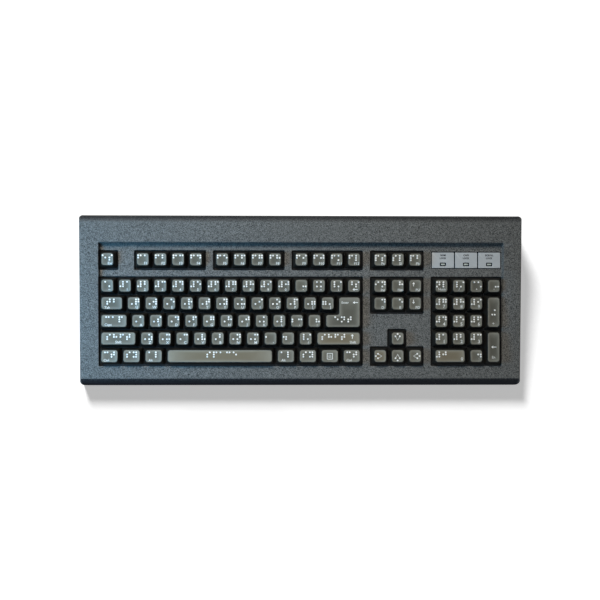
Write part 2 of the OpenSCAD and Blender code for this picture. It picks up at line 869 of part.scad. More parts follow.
module keycap(key) {
    half_w = (key[3] * pitch - key_gap) / 2;
    half_d = (key[4] * pitch - key_gap) / 2;
    top = key[5];
    tilt = key[6];
    dish_width = 2 * (half_w - top_inset_x - dish_land);
    share = ceiling_share(top);
    dished = key[3] < 5;
    difference() {
        loft(
            lifted(plain_outline(half_w, half_d, 0, 0.8, 3), -cap_drop, 0),
            lifted(plain_outline(half_w - top_inset_x, half_d - top_inset_v, top_back, 2, 3), top, tilt)
        );
        loft(
            lifted(plain_outline(half_w - cap_wall, half_d - cap_wall, 0, 0.4, 1), -cap_drop, 0),
            lifted(
                plain_outline(
                    half_w - cap_wall - share * top_inset_x,
                    half_d - cap_wall - share * top_inset_v,
                    share * top_back, 0.4, 1
                ),
                cap_ceiling, 0
            )
        );
        if (dished)
            translate([0, 0, top]) rotate([tilt, 0, 0]) dish(dish_width, 2 * half_d);
    }
    stem();
    wire_hooks(key[0]);
    translate([0, 0, top]) rotate([tilt, 0, 0]) {
        if (is_num(key[7])) {
            arrow_dots(key[7], dish_width);
        } else {
            rise = key[4] > 1 ? 0 : label_rise;
            braille(key[7], dish_width, dished, key[8], rise);
        }
    }
}

module key_group(name) {
    color("slategray") on_deck() for (key = keys)
        if (key[0] == name)
            at_stem([key[1], key[2]]) keycap(key);
}

module enter_key() {
    half_gap = key_gap / 2;
    dish_width = enter_units * pitch - key_gap - 2 * (top_inset_x + dish_land);
    share = ceiling_share(enter_top);
    color("slategray") on_deck() at_stem(enter_at) {
        difference() {
            loft(
                lifted(enter_outline(half_gap, half_gap, 0, 0.8, 3), -cap_drop, 0),
                lifted(
                    enter_outline(half_gap + top_inset_x, half_gap + top_inset_v, top_back, 2, 3),
                    enter_top, 0
                )
            );
            loft(
                lifted(enter_outline(half_gap + cap_wall, half_gap + cap_wall, 0, 0.4, 1), -cap_drop, 0),
                lifted(
                    enter_outline(
                        half_gap + cap_wall + share * top_inset_x,
                        half_gap + cap_wall + share * top_inset_v,
                        share * top_back, 0.4, 1
                    ),
                    cap_ceiling, 0
                )
            );
            translate([0, 0, enter_top]) dish(dish_width, 3 * pitch);
        }
        stem();
        wire_hooks("enter_key");
        translate([0, 0, enter_top]) braille("ent", dish_width, true, 0, label_rise);
    }
}

// Stabiliser wires, at rest with their tips up
module wire(name) {
    for (wire = wires)
        if (wire[0] == name)
            color("silver") on_deck()
                at_stem(wire[2])
                    rotate([0, 0, wire[4]])
                        translate([0, bar_v, bar_w])
                            rotate([arm_angle, 0, 0])
                                wire_shape(wire[3]);
}

module rod(from, to) {
    translate([from, 0, 0]) rotate([0, 90, 0]) cylinder(r = wire_r, h = to - from);
}

module bend(x, y, from) {
    translate([x, y, 0])
        rotate([0, 0, from])
            rotate_extrude(angle = 90)
                translate([bend_r, 0]) circle(r = wire_r);
}

// A bar along X, an arm at each end of it, and a tip turned outward at the end of each arm
module wire_shape(span) {
    rod(bend_r - span, span - bend_r);
    bend(bend_r - span, bend_r, 180);
    bend(span - bend_r, bend_r, 270);
    for (side = [-1, 1])
        translate([side * span, bend_r, 0])
            rotate([-90, 0, 0]) cylinder(r = wire_r, h = arm_l - 2 * bend_r);
    bend(-span - bend_r, arm_l - bend_r, 0);
    bend(span + bend_r, arm_l - bend_r, 90);
    translate([0, arm_l, 0]) {
        rod(-span - tip_l, -span - bend_r);
        rod(span + bend_r, span + tip_l);
    }
}

top_case();
bottom_case();
key_guide_plate();
dome_sheet();
upper_membrane();
membrane_spacer();
lower_membrane();
back_plate();
controller_board();
controller_chip();
cable_header();
indicator_lamps();
indicator_lenses();
indicator_plates();
membrane_clamp();
case_screws();
small_screws();
rubber_pads();
cable_gland();
left_tilt_foot();
right_tilt_foot();
wire("space_bar_wire");  // space_bar_wire
wire("left_shift_wire");  // left_shift_wire
wire("right_shift_wire");  // right_shift_wire
wire("enter_wire");  // enter_wire
wire("number_pad_zero_wire");  // number_pad_zero_wire
wire("number_pad_plus_wire");  // number_pad_plus_wire
wire("number_pad_enter_wire");  // number_pad_enter_wire
key_group("escape_key");  // escape_key
key_group("f1_to_f4_keys");  // f1_to_f4_keys
key_group("f5_to_f8_keys");  // f5_to_f8_keys
key_group("f9_to_f12_keys");  // f9_to_f12_keys
key_group("print_scroll_pause_keys");  // print_scroll_pause_keys
key_group("left_number_keys");  // left_number_keys
key_group("right_number_keys");  // right_number_keys
key_group("backspace_key");  // backspace_key
key_group("tab_key");  // tab_key
key_group("upper_left_letter_keys");  // upper_left_letter_keys
key_group("upper_right_letter_keys");  // upper_right_letter_keys
key_group("caps_lock_key");  // caps_lock_key
key_group("home_left_letter_keys");  // home_left_letter_keys
key_group("home_right_letter_keys");  // home_right_letter_keys
enter_key();
key_group("left_shift_key");  // left_shift_key
key_group("lower_left_letter_keys");  // lower_left_letter_keys
key_group("lower_right_letter_keys");  // lower_right_letter_keys
key_group("right_shift_key");  // right_shift_key
key_group("left_modifier_keys");  // left_modifier_keys
key_group("space_bar");  // space_bar
key_group("right_modifier_keys");  // right_modifier_keys
key_group("navigation_keys");  // navigation_keys
key_group("up_arrow_key");  // up_arrow_key
key_group("left_arrow_key");  // left_arrow_key
key_group("down_arrow_key");  // down_arrow_key
key_group("right_arrow_key");  // right_arrow_key
key_group("number_pad_operator_keys");  // number_pad_operator_keys
key_group("number_pad_digit_keys");  // number_pad_digit_keys
key_group("number_pad_zero_key");  // number_pad_zero_key
key_group("number_pad_plus_key");  // number_pad_plus_key
key_group("number_pad_enter_key");  // number_pad_enter_key
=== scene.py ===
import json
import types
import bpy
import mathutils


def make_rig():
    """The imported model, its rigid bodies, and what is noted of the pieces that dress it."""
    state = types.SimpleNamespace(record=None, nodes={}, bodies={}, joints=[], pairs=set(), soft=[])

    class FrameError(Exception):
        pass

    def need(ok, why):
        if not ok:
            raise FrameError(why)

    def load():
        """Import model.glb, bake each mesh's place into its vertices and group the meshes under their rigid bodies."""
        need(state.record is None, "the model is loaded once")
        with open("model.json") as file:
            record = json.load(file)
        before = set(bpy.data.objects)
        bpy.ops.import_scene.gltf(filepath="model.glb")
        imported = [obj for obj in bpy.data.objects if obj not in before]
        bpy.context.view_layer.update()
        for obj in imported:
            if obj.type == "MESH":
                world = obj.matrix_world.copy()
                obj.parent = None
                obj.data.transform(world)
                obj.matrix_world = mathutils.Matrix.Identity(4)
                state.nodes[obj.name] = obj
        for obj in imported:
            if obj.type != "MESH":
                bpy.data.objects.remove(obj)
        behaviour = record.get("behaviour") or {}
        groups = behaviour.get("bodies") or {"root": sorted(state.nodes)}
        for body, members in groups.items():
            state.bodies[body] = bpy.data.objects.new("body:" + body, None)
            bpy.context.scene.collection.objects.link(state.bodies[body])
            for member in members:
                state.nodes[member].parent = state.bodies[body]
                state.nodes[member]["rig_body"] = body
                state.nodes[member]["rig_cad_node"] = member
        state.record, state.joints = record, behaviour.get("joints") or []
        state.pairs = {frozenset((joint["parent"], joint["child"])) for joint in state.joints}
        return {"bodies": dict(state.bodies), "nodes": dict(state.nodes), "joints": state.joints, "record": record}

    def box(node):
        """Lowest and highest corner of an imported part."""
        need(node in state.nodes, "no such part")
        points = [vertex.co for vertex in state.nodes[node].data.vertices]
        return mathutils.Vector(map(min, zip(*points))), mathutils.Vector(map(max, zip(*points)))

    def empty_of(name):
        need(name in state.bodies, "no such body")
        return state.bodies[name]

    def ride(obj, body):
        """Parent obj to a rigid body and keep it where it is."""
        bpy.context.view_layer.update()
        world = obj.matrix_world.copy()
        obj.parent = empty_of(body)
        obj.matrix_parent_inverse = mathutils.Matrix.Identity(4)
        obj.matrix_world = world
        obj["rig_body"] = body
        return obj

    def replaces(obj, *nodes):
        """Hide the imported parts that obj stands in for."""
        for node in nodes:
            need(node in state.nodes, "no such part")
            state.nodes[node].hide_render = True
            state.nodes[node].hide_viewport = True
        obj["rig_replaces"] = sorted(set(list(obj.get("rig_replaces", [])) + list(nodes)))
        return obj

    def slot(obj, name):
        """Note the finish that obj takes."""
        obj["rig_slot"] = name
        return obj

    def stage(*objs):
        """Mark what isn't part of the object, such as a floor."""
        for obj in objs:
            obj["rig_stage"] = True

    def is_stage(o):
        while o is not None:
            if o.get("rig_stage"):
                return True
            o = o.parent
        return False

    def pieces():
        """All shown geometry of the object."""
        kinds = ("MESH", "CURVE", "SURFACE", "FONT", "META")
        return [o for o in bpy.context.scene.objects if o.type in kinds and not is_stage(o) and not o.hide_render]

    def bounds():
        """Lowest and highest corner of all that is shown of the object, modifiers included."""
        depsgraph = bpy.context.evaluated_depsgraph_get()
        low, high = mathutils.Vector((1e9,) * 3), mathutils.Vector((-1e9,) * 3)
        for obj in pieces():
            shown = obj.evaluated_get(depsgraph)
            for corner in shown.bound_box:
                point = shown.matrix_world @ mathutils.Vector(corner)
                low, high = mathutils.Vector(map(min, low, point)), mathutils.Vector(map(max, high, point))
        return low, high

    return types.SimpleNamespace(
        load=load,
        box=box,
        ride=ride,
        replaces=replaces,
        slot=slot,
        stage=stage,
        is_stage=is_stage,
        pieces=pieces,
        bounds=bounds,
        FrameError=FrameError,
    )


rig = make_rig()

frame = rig.load()

# Braille keyboard: a grained wedge case, sculpted keys with raised dots and small printed legends.
import json
import math

import bmesh
import bpy
import numpy as np

cadBox = [list(corner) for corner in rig.bounds()]
mm = 0.001  # the pieces' dictionaries hold millimetres and degrees, the meshes are in metres

# Lie of the keys: x to the right, v up the slope of the deck, w square to it, w = 0 on its face.
deck = {
    "slope": 5.0,
    "cheekSlope": 7.8,  # slope of the cheeks and the hood
    "frontHeight": 17.0,
    "start": 19.0,  # from the front edge to the line where the deck begins to sink
    "pitch": 19.05,
    "unitsAcross": 23,
    "unitsDeep": 6.5,
    "fieldFront": 3.0,
}
caseLow, caseHigh = (np.array(corner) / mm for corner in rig.box("top_case"))
halfWide = caseHigh[0]
frontY = caseLow[1]
rearY = caseHigh[1]
deckAngle = math.radians(deck["slope"])
cheekAngle = math.radians(deck["cheekSlope"])
deckY = frontY + deck["start"]
deckZ = deck["frontHeight"] + deck["start"] * math.tan(cheekAngle)
sinkRate = math.tan(cheekAngle - deckAngle)  # how fast the cheeks rise above the deck


def keyX(units):  # counted in key pitches from the left end of the key field
    return (units - deck["unitsAcross"] / 2) * deck["pitch"]


def keyV(units):  # counted in key pitches from its front
    return deck["fieldFront"] + units * deck["pitch"]


def cheekZ(y):  # height of the cheeks, which rise evenly from the front edge
    return deck["frontHeight"] + (y - frontY) * math.tan(cheekAngle)


# Turns points of the deck's frame, in millimetres, into points of the frame, in metres.
def onDeck(points):
    x, v, w = np.moveaxis(np.asarray(points, float), -1, 0)
    y = deckY + v * math.cos(deckAngle) - w * math.sin(deckAngle)
    z = deckZ + v * math.sin(deckAngle) + w * math.cos(deckAngle)
    return np.stack([x, y, z], -1) * mm


# Outline of right-angled corners, counterclockwise: a quarter arc at each and straight runs between.
def roundedOutline(corners, radius, arcSteps=4, runSteps=8):
    corners = np.asarray(corners, float)
    ahead = np.roll(corners, -1, 0) - corners
    ahead /= np.linalg.norm(ahead, axis=1, keepdims=True)
    before = np.roll(ahead, 1, 0)
    middle = (corners + radius * (ahead - before))[:, None]
    turn = np.linspace(0, np.pi / 2, arcSteps + 1)[None, :, None]
    arcs = middle + radius * (before[:, None] * np.sin(turn) - ahead[:, None] * np.cos(turn))
    share = np.linspace(0, 1, runSteps + 1)[None, 1:-1, None]
    runStart = arcs[:, -1:]
    runEnd = np.roll(arcs[:, :1], -1, 0)
    return np.concatenate([arcs, runStart + (runEnd - runStart) * share], 1).reshape(-1, 2)


def rectangle(left, right, front, rear):  # its corners, counterclockwise
    return [(left, front), (right, front), (right, rear), (left, rear)]


def lift(outline, w):  # an outline with a height at each point
    return np.column_stack([outline, np.broadcast_to(w, len(outline))])


# Quads between neighbouring rings of points, each ring closed on itself, for any number of copies.
def ringFaces(rings, points, copies=1):
    ring = np.arange(rings - 1)[:, None] * points
    here = np.arange(points)[None]
    there = (here + 1) % points
    corners = [ring + here, ring + there, ring + points + there, ring + points + here]
    quads = np.stack(np.broadcast_arrays(*corners), -1).reshape(-1, 4)
    shift = np.arange(copies)[:, None, None] * rings * points
    return (quads[None] + shift).reshape(-1, 4)


# Mesh of rings in the deck's frame, counted from a middle there, with values for its points.
def ringMesh(rings, x=0.0, v=0.0, **values):
    points = onDeck(np.concatenate(rings) + [x, v, 0])
    return {"points": points, "faces": ringFaces(len(rings), len(rings[0])), "values": values}


# Puts points, faces and point values of several parts together as one mesh.
def joinParts(parts):
    sizes = np.cumsum([0] + [len(part["points"]) for part in parts])
    faces = []
    for part, start in zip(parts, sizes):
        faces += (part["faces"] + start).tolist()
    names = {name for part in parts for name in part.get("values", {})}
    values = {}
    for name in sorted(names):
        columns = []
        for part in parts:
            level = part.get("values", {}).get(name, 0.0)
            columns.append(np.broadcast_to(level, len(part["points"])))
        values[name] = np.concatenate(columns)
    return {"points": np.concatenate([part["points"] for part in parts]), "faces": faces, "values": values}


# Makes one object of a joined mesh; poles and shared borders are closed by merging.
def makePiece(name, part, material, body, slot, replaced=(), sharpAngle=40):
    mesh = bpy.data.meshes.new(name)
    mesh.from_pydata(part["points"].tolist(), [], part["faces"])
    for key, numbers in part.get("values", {}).items():
        mesh.attributes.new(key, "FLOAT", "POINT").data.foreach_set("value", numbers.astype(np.float32))
    near = 0.0005 * mm
    work = bmesh.new()
    work.from_mesh(mesh)
    bmesh.ops.remove_doubles(work, verts=work.verts, dist=near)
    bmesh.ops.dissolve_degenerate(work, edges=work.edges, dist=near)
    work.to_mesh(mesh)
    work.free()
    mesh.shade_smooth()
    mesh.set_sharp_from_angle(angle=math.radians(sharpAngle))
    piece = bpy.data.objects.new(name, mesh)
    bpy.context.scene.collection.objects.link(piece)
    mesh.materials.append(material)
    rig.ride(piece, body)
    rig.slot(piece, slot)
    if replaced:
        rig.replaces(piece, *replaced)


# One socket of a node tree; sums and products of sockets add their Math nodes.
class Signal:
    def __init__(self, tree, socket=None):
        self.tree = tree
        self.socket = socket

    # Any node: its type, its settings, then the values or links of its sockets.
    def node(self, kind, settings=None, inputs=None, output=0):
        made = self.tree.nodes.new("ShaderNode" + kind)
        for key, value in (settings or {}).items():
            if key == "stops":
                self.setStops(made.color_ramp, value)
            else:
                setattr(made, key, value)
        for key, value in (inputs or {}).items():
            if isinstance(value, Signal):
                self.tree.links.new(value.socket, made.inputs[key])
            else:
                made.inputs[key].default_value = value
        return Signal(self.tree, made.outputs[output])

    def setStops(self, ramp, stops):
        while len(ramp.elements) < len(stops):
            ramp.elements.new(0.5)
        for element, (place, level) in zip(ramp.elements, stops):
            element.position = place
            element.color = (level, level, level, 1.0)

    def maths(self, operation, first, second):
        return self.node("Math", {"operation": operation}, {0: first, 1: second})

    def __add__(self, other):
        return self.maths("ADD", self, other)

    def __sub__(self, other):
        return self.maths("SUBTRACT", self, other)

    def __mul__(self, other):
        return self.maths("MULTIPLY", self, other)

    def __radd__(self, other):
        return self.maths("ADD", other, self)

    def __rsub__(self, other):
        return self.maths("SUBTRACT", other, self)

    def __rmul__(self, other):
        return self.maths("MULTIPLY", other, self)

    def value(self, name):  # a value kept at the points of the mesh
        return self.node("Attribute", {"attribute_name": name}, None, "Fac")

    def mix(self, first, second):  # from one colour to another by this share
        settings = {"data_type": "RGBA", "clamp_factor": True}
        return self.node("Mix", settings, {0: self, 6: first, 7: second}, 2)

    def ramp(self, *stops):
        return self.node("ValToRGB", {"stops": stops}, {"Fac": self})


# A material with one Principled shader; the recipe returns what its varying sockets get.
def makeMaterial(name, look, recipe):
    material = bpy.data.materials.new(name)
    material.use_nodes = True
    tree = material.node_tree
    shader = tree.nodes["Principled BSDF"]
    for socket, value in look.get("fixed", {}).items():
        shader.inputs[socket].default_value = value
    start = Signal(tree)
    place = start.node("TexCoord", output="Object")
    for socket, value in recipe(start, place, look).items():
        tree.links.new(value.socket, shader.inputs[socket])
    return material


def rgb(red, green, blue):  # a colour as it shows on screen, 0 to 255, as linear light
    shown = np.array([red, green, blue]) / 255
    light = np.where(shown > 0.04045, ((shown + 0.055) / 1.055) ** 2.4, shown / 12.92)
    return (*light.tolist(), 1.0)


def shaded(colour, factor):
    return (*[channel * factor for channel in colour[:3]], 1.0)


def toned(share, look):  # between the dark and the light shade of a look's colour
    return share.mix(shaded(look["colour"], look["dark"]), shaded(look["colour"], look["light"]))


def noiseAt(start, place, scale, detail=2.0, roughness=0.5):
    sockets = {"Vector": place, "Scale": scale, "Detail": detail, "Roughness": roughness}
    return start.node("TexNoise", None, sockets)


def bumpOf(start, height, strength, distance):
    return start.node("Bump", None, {"Height": height, "Strength": strength, "Distance": distance * mm})


# Moulded spark grain: fine lumps over broad ones turn the grey dark or light, patches rubbed by hands
# are smoother and a little lighter, and the painted-shade value of the mesh paints shade dark navy on
# the lip, the rear edge and the panel's recess.
def grainedPlastic(start, place, look):
    fine = noiseAt(start, place, look["grainScale"], 3.0, 0.6)
    broad = noiseAt(start, place, look["broadScale"], 1.0)
    patches = noiseAt(start, place, look["patchScale"], 3.0)
    darkest, lightest = look["fleckRange"]
    flecks = (fine * 0.85 + broad * 0.15).ramp((darkest, 0.0), (lightest, 1.0))
    grey = toned(flecks, look)
    begins, full = look["wornRange"]
    worn = patches.ramp((begins, 0.0), (full, 1.0)) * look["handling"]
    grey = worn.mix(grey, shaded(look["colour"], look["wornLight"]))
    return {
        "Base Color": start.value("trim").mix(grey, look["trim"]),
        "Roughness": look["roughness"] + 0.12 * fine - 0.16 * worn,
        "Normal": bumpOf(start, fine + 0.6 * broad, look["bump"], look["grainDepth"]),
    }


# Cap with a grey paper label on a near-black body whose darkness also paints the shade on the skirts:
# smears and grain move the label between its dark and light tone, warm labels yellow, and the rounded
# edges are pale, partly worn and partly a painted highlight. Label, tone, warmth and edge come with
# the mesh.
def keyPlastic(start, place, look):
    label = start.value("label")
    tone = start.value("tone")
    warm = start.value("warm")
    fine = noiseAt(start, place, look["grainScale"], 2.0)
    smears = noiseAt(start, place, look["smearScale"], 4.0, 0.62)
    # pale rim on the rounded edges: wear and a painted highlight
    rubbed = start.value("edge") * (0.7 + 0.6 * smears)
    paper = (tone + 0.3 * smears + 0.2 * fine - 0.25).mix(look["labelDark"], look["labelLight"])
    paper = warm.mix(paper, look["labelWarm"])
    top = label.mix((fine * look["dust"]).mix(look["body"], look["edge"]), paper)
    return {
        "Base Color": rubbed.mix(top, look["edge"]),
        "Roughness": look["bodyRough"] + label * (look["labelRough"] - look["bodyRough"]) + 0.15 * smears,
        "Coat Weight": label * look["sheen"],
        "Normal": bumpOf(start, fine, look["bump"], look["grainDepth"]),
    }


# Opaque paint: white on the dots, greyer on the print, worn in spots; the ink value of the mesh is
# 1 on the dots and 0 on the print.
def markPaint(start, place, look):
    spots = noiseAt(start, place, look["spotScale"], 3.0)
    paint = start.value("ink").mix(look["print"], look["dots"])
    return {
        "Base Color": (look["wear"] * spots).mix(paint, look["worn"]),
        "Roughness": look["roughness"] + 0.15 * spots,
        "Normal": bumpOf(start, spots, look["bump"], look["spotDepth"]),
    }


# Even paint or resin: a broad cloud and a fine skin move it between two shades of its colour.
def cloudedFinish(start, place, look):
    cloud = noiseAt(start, place, look["cloudScale"], 4.0)
    skin = noiseAt(start, place, look["skinScale"], 2.0)
    return {
        "Base Color": toned(cloud * 0.7 + skin * 0.3, look),
        "Roughness": look["roughness"] + 0.14 * cloud,
        "Normal": bumpOf(start, skin, look["bump"], look["skinDepth"]),
    }


# Rolled or drawn steel: noise drawn out along one axis and a little even noise move it between two
# shades of its colour, and the streaks are rougher where they are light.
def streakedSteel(start, place, look):
    drawn = start.node("Mapping", None, {"Vector": place, "Scale": look["streaks"]})
    streak = noiseAt(start, drawn, look["streakScale"], 3.0, 0.6)
    spots = noiseAt(start, place, look["streakScale"] * 0.4, 2.0)
    return {
        "Base Color": toned(streak * 0.8 + spots * 0.2, look),
        "Roughness": look["roughness"] + 0.2 * streak,
        "Normal": bumpOf(start, streak, look["bump"], look["streakDepth"]),
    }


caseLook = {
    "colour": rgb(94, 95, 95),
    # colour of the painted shade on the lip, the rear edge and the floor of the panel's recess
    "trim": rgb(6, 12, 22),
    "dark": 0.32,
    "light": 1.85,
    "grainScale": 1000.0,
    "broadScale": 350.0,
    "fleckRange": (0.38, 0.62),  # lumps below the first are all dark, above the second all light
    "grainDepth": 0.06,
    "bump": 0.45,
    "patchScale": 22.0,
    "handling": 0.25,
    "wornRange": (0.42, 0.75),
    "wornLight": 1.12,
    "roughness": 0.6,
    "fixed": {"Specular IOR Level": 0.08},
}
keyLook = {
    # near black: also paints the shade on the skirts and in the gaps between the keys
    "body": rgb(6, 6, 7),
    "edge": rgb(152, 151, 142),
    "dust": 0.06,  # share of the edge's tone on the grain of the body
    "bodyRough": 0.42,
    "labelDark": rgb(84, 83, 76),
    "labelLight": rgb(112, 110, 100),
    "labelWarm": rgb(118, 106, 84),
    "labelRough": 0.38,
    "grainScale": 2600.0,
    "grainDepth": 0.03,
    "smearScale": 160.0,
    "bump": 0.3,
    "sheen": 0.25,
    "fixed": {"Specular IOR Level": 0.08, "Coat Roughness": 0.4},
}
markLook = {
    "dots": rgb(250, 250, 248),
    "print": rgb(222, 224, 222),
    "worn": rgb(190, 190, 186),
    "wear": 0.3,
    "spotScale": 900.0,
    "spotDepth": 0.02,
    "bump": 0.2,
    "roughness": 0.4,
    "fixed": {"Specular IOR Level": 0.3},
}


def clouded(name, colour, roughness, cloudScale, skinScale=1500.0, skinDepth=0.03):
    look = {
        "colour": colour,
        "dark": 0.82,
        "light": 1.18,
        "roughness": roughness,
        "cloudScale": cloudScale,
        "skinScale": skinScale,
        "skinDepth": skinDepth,
        "bump": 0.3,
    }
    return makeMaterial(name, look, cloudedFinish)


def steel(name, colour, roughness, streaks, streakScale=300.0):
    look = {
        "colour": colour,
        "dark": 0.8,
        "light": 1.15,
        "roughness": roughness,
        "streaks": streaks,
        "streakScale": streakScale,
        "streakDepth": 0.02,
        "bump": 0.25,
        "fixed": {"Metallic": 1.0},
    }
    return makeMaterial(name, look, streakedSteel)


casePlastic = makeMaterial("casePlastic", caseLook, grainedPlastic)
capPlastic = makeMaterial("capPlastic", keyLook, keyPlastic)
whitePaint = makeMaterial("whitePaint", markLook, markPaint)
platePlastic = clouded("platePlastic", rgb(170, 175, 180), 0.46, 120.0)
inkPaint = clouded("inkPaint", rgb(22, 25, 30), 0.5, 900.0)
lensResin = clouded("lensResin", rgb(172, 180, 176), 0.28, 500.0)
guidePlastic = clouded("guidePlastic", rgb(14, 14, 16), 0.55, 40.0)
footPlastic = clouded("footPlastic", rgb(38, 41, 45), 0.5, 40.0, 1200.0, 0.05)
padRubber = clouded("padRubber", rgb(24, 24, 25), 0.8, 200.0, 2200.0, 0.06)
domeRubber = clouded("domeRubber", rgb(196, 194, 186), 0.6, 40.0)
filmPlastic = clouded("filmPlastic", rgb(208, 216, 208), 0.3, 25.0)
boardLacquer = clouded("boardLacquer", rgb(38, 104, 66), 0.35, 90.0)
chipEpoxy = clouded("chipEpoxy", rgb(30, 30, 31), 0.55, 200.0)
headerPlastic = clouded("headerPlastic", rgb(222, 216, 196), 0.4, 120.0)
lampResin = clouded("lampResin", rgb(150, 190, 120), 0.2, 300.0)
sheetSteel = steel("sheetSteel", rgb(190, 192, 194), 0.35, (0.05, 1.0, 1.0))
screwSteel = steel("screwSteel", rgb(176, 176, 174), 0.3, (1.0, 1.0, 0.2), 900.0)
wireSteel = steel("wireSteel", rgb(190, 190, 188), 0.28, (0.1, 1.0, 1.0), 900.0)
print("materials made")

# Top case: one closed shell, whose upper face is a grid of the deck's lines that sinks in the pocket.
shell = {
    "wall": 2.5,
    "seam": 8.1,  # a hair above the lower half, so the joint shows as a fine line
    "cornerRadius": 4.0,
    "lipRadius": 8.4,
    "lipFullness": 0.25,  # 0 a flat face, 0.7 a round one
    "rearRadius": 7.6,
    # painted shade: the lip's curve and the rear edge's curve are coloured dark where they turn from the light
    "lipTrim": 0.9,  # share of the lip's curve that is dark, from its foot up
    "lipFade": 0.3,
    "rearTrim": 0.8,  # how dark the rear edge is half way round its curve
    "sideRadius": 1.2,
    "edgeSteps": 9,
    "cornerSteps": 7,
    "flatSteps": 6,
    "sideSteps": 8,
    "ringGap": 0.2,  # least distance between two rings of the wall
    "coveGap": 9.0,
    "coveRadius": 7.0,
    "coveSteps": 12,
    "ledgeRadius": 1.1,
    "leftSide": 0.3,  # middle of the pocket's sides, counted outwards from the key field
    "leftDraft": 1.0,
    "rightSide": 1.5,
    "rightDraft": 1.4,
    "wellGap": 0.9,
    "wellFrontGap": 1.6,
    "wellCorner": 1.2,
    "wellRim": 0.45,
    "glandX": 0.44 * halfWide,
    "glandHalf": 5.0,
    "glandHeight": 9.0,
}
# Openings for the keys in key pitches: left, right, front, rear.
wells = np.array([
    (0, 1, 5.5, 6.5), (2, 6, 5.5, 6.5), (6.5, 10.5, 5.5, 6.5), (11, 15, 5.5, 6.5), (15.5, 18.5, 5.5, 6.5),
    (0, 15, 0, 5), (15.5, 18.5, 3, 5), (16.5, 17.5, 0.5, 2), (15.5, 18.5, 0, 1), (19, 23, 0, 5),
])
# Recess of the indicator plates.
panel = {
    "x": keyX(21),
    "v": keyV(6),
    "wide": 4 * deck["pitch"] + 0.6,
    "deep": deck["pitch"] - 0.4,
    "sink": 1.2,
    "draft": 0.12,
}
wellLeft = keyX(wells[:, 0]) - shell["wellGap"]
wellRight = keyX(wells[:, 1]) + shell["wellGap"]
wellFront = keyV(wells[:, 2]) - shell["wellFrontGap"]
wellRear = keyV(wells[:, 3]) + shell["wellGap"]
panelX = panel["x"] + np.array([-0.5, 0.5]) * panel["wide"]
panelV = panel["v"] + np.array([-0.5, 0.5]) * panel["deep"]
pocketLeft = keyX(0) - shell["leftSide"]
pocketRight = keyX(deck["unitsAcross"]) + shell["rightSide"]
ledgeV = keyV(deck["unitsDeep"]) + shell["coveGap"]


def inOrder(*groups):  # line places in order, without near twins
    return np.unique(np.round(np.concatenate([np.ravel(group) for group in groups]), 3))


def linesAt(edges, offsets):  # every edge shifted by every offset
    return np.ravel(edges)[:, None] + np.asarray(offsets)[None]


# Distance outside a set of rectangles, measured along x or v, whichever is more.
def outside(x, v, left, right, front, rear):
    across = np.maximum(left - x[..., None], x[..., None] - right)
    along = np.maximum(front - v[..., None], v[..., None] - rear)
    return np.maximum(across, along).min(-1)


def smoothStep(share):  # three squares less two cubes of the share: level at both ends
    share = np.clip(share, 0, 1)
    return share * share * (3 - 2 * share)


# Parabola from one point to another that leaves and arrives along the lines to a corner.
def bent(share, begin, corner, end):
    return (1 - share) ** 2 * begin + 2 * share * (1 - share) * corner + share**2 * end


def linesAtWells(edges):  # on both sides of an opening's edge, for its rim and its corner rounding
    rim = shell["wellRim"]
    corner = shell["wellCorner"]
    return linesAt(edges, [-corner, -rim, -0.3 * rim, 0, 0.3 * rim, rim, corner])


def linesAtPanel(edges):
    return linesAt(edges, [-panel["draft"], 0, panel["draft"]])


# Columns of the grid: every line across which the upper face bends.
def caseColumns():
    slope = np.linspace(-0.5, 0.5, shell["sideSteps"])
    inner = halfWide - shell["sideRadius"]
    return inOrder(
        [-inner, inner],
        pocketLeft + slope * shell["leftDraft"],
        pocketRight + slope * shell["rightDraft"],
        linesAtWells([wellLeft, wellRight]),
        linesAtPanel(panelX),
        [shell["glandX"] - shell["glandHalf"], shell["glandX"] + shell["glandHalf"]],
    )


# Rows of the grid as v and the pocket's w: cheek, deck, quarter-round cove, rounded ledge, hood.
def caseRows():
    scale = math.cos(cheekAngle - deckAngle) / math.cos(cheekAngle)
    lip = shell["lipRadius"] * math.tan((math.pi / 2 - cheekAngle) / 2)
    back = shell["rearRadius"] * math.tan((math.pi / 2 + cheekAngle) / 2)
    firstV = (frontY + lip * math.cos(cheekAngle) - deckY) * scale
    lastV = (rearY - back * math.cos(cheekAngle) - deckY) * scale
    cheekV = np.linspace(firstV, 0, shell["flatSteps"])
    coveStart = ledgeV - shell["coveRadius"]
    deckV = inOrder(linesAtWells([wellFront, wellRear]), linesAtPanel(panelV))
    top = ledgeV * sinkRate
    reach = math.asin((shell["coveRadius"] - top + shell["ledgeRadius"]) / shell["coveRadius"])
    turn = np.linspace(-math.pi / 2, -reach, shell["coveSteps"])
    coveV = coveStart + shell["coveRadius"] * np.cos(turn)
    coveW = shell["coveRadius"] * (1 + np.sin(turn))
    share = np.linspace(0, 1, shell["flatSteps"])[1:]
    edgeV = coveV[-1] + shell["ledgeRadius"] * math.tan(reach)
    hoodV = edgeV + shell["ledgeRadius"]
    roundV = bent(share, coveV[-1], edgeV, hoodV)
    roundW = bent(share, coveW[-1], edgeV * sinkRate, hoodV * sinkRate)
    restV = np.linspace(hoodV, lastV, shell["flatSteps"])[1:]
    v = np.concatenate([cheekV, deckV, coveV, roundV, restV])
    w = np.concatenate([cheekV * sinkRate, 0 * deckV, coveW, roundW, restV * sinkRate])
    return v, w, lip, back


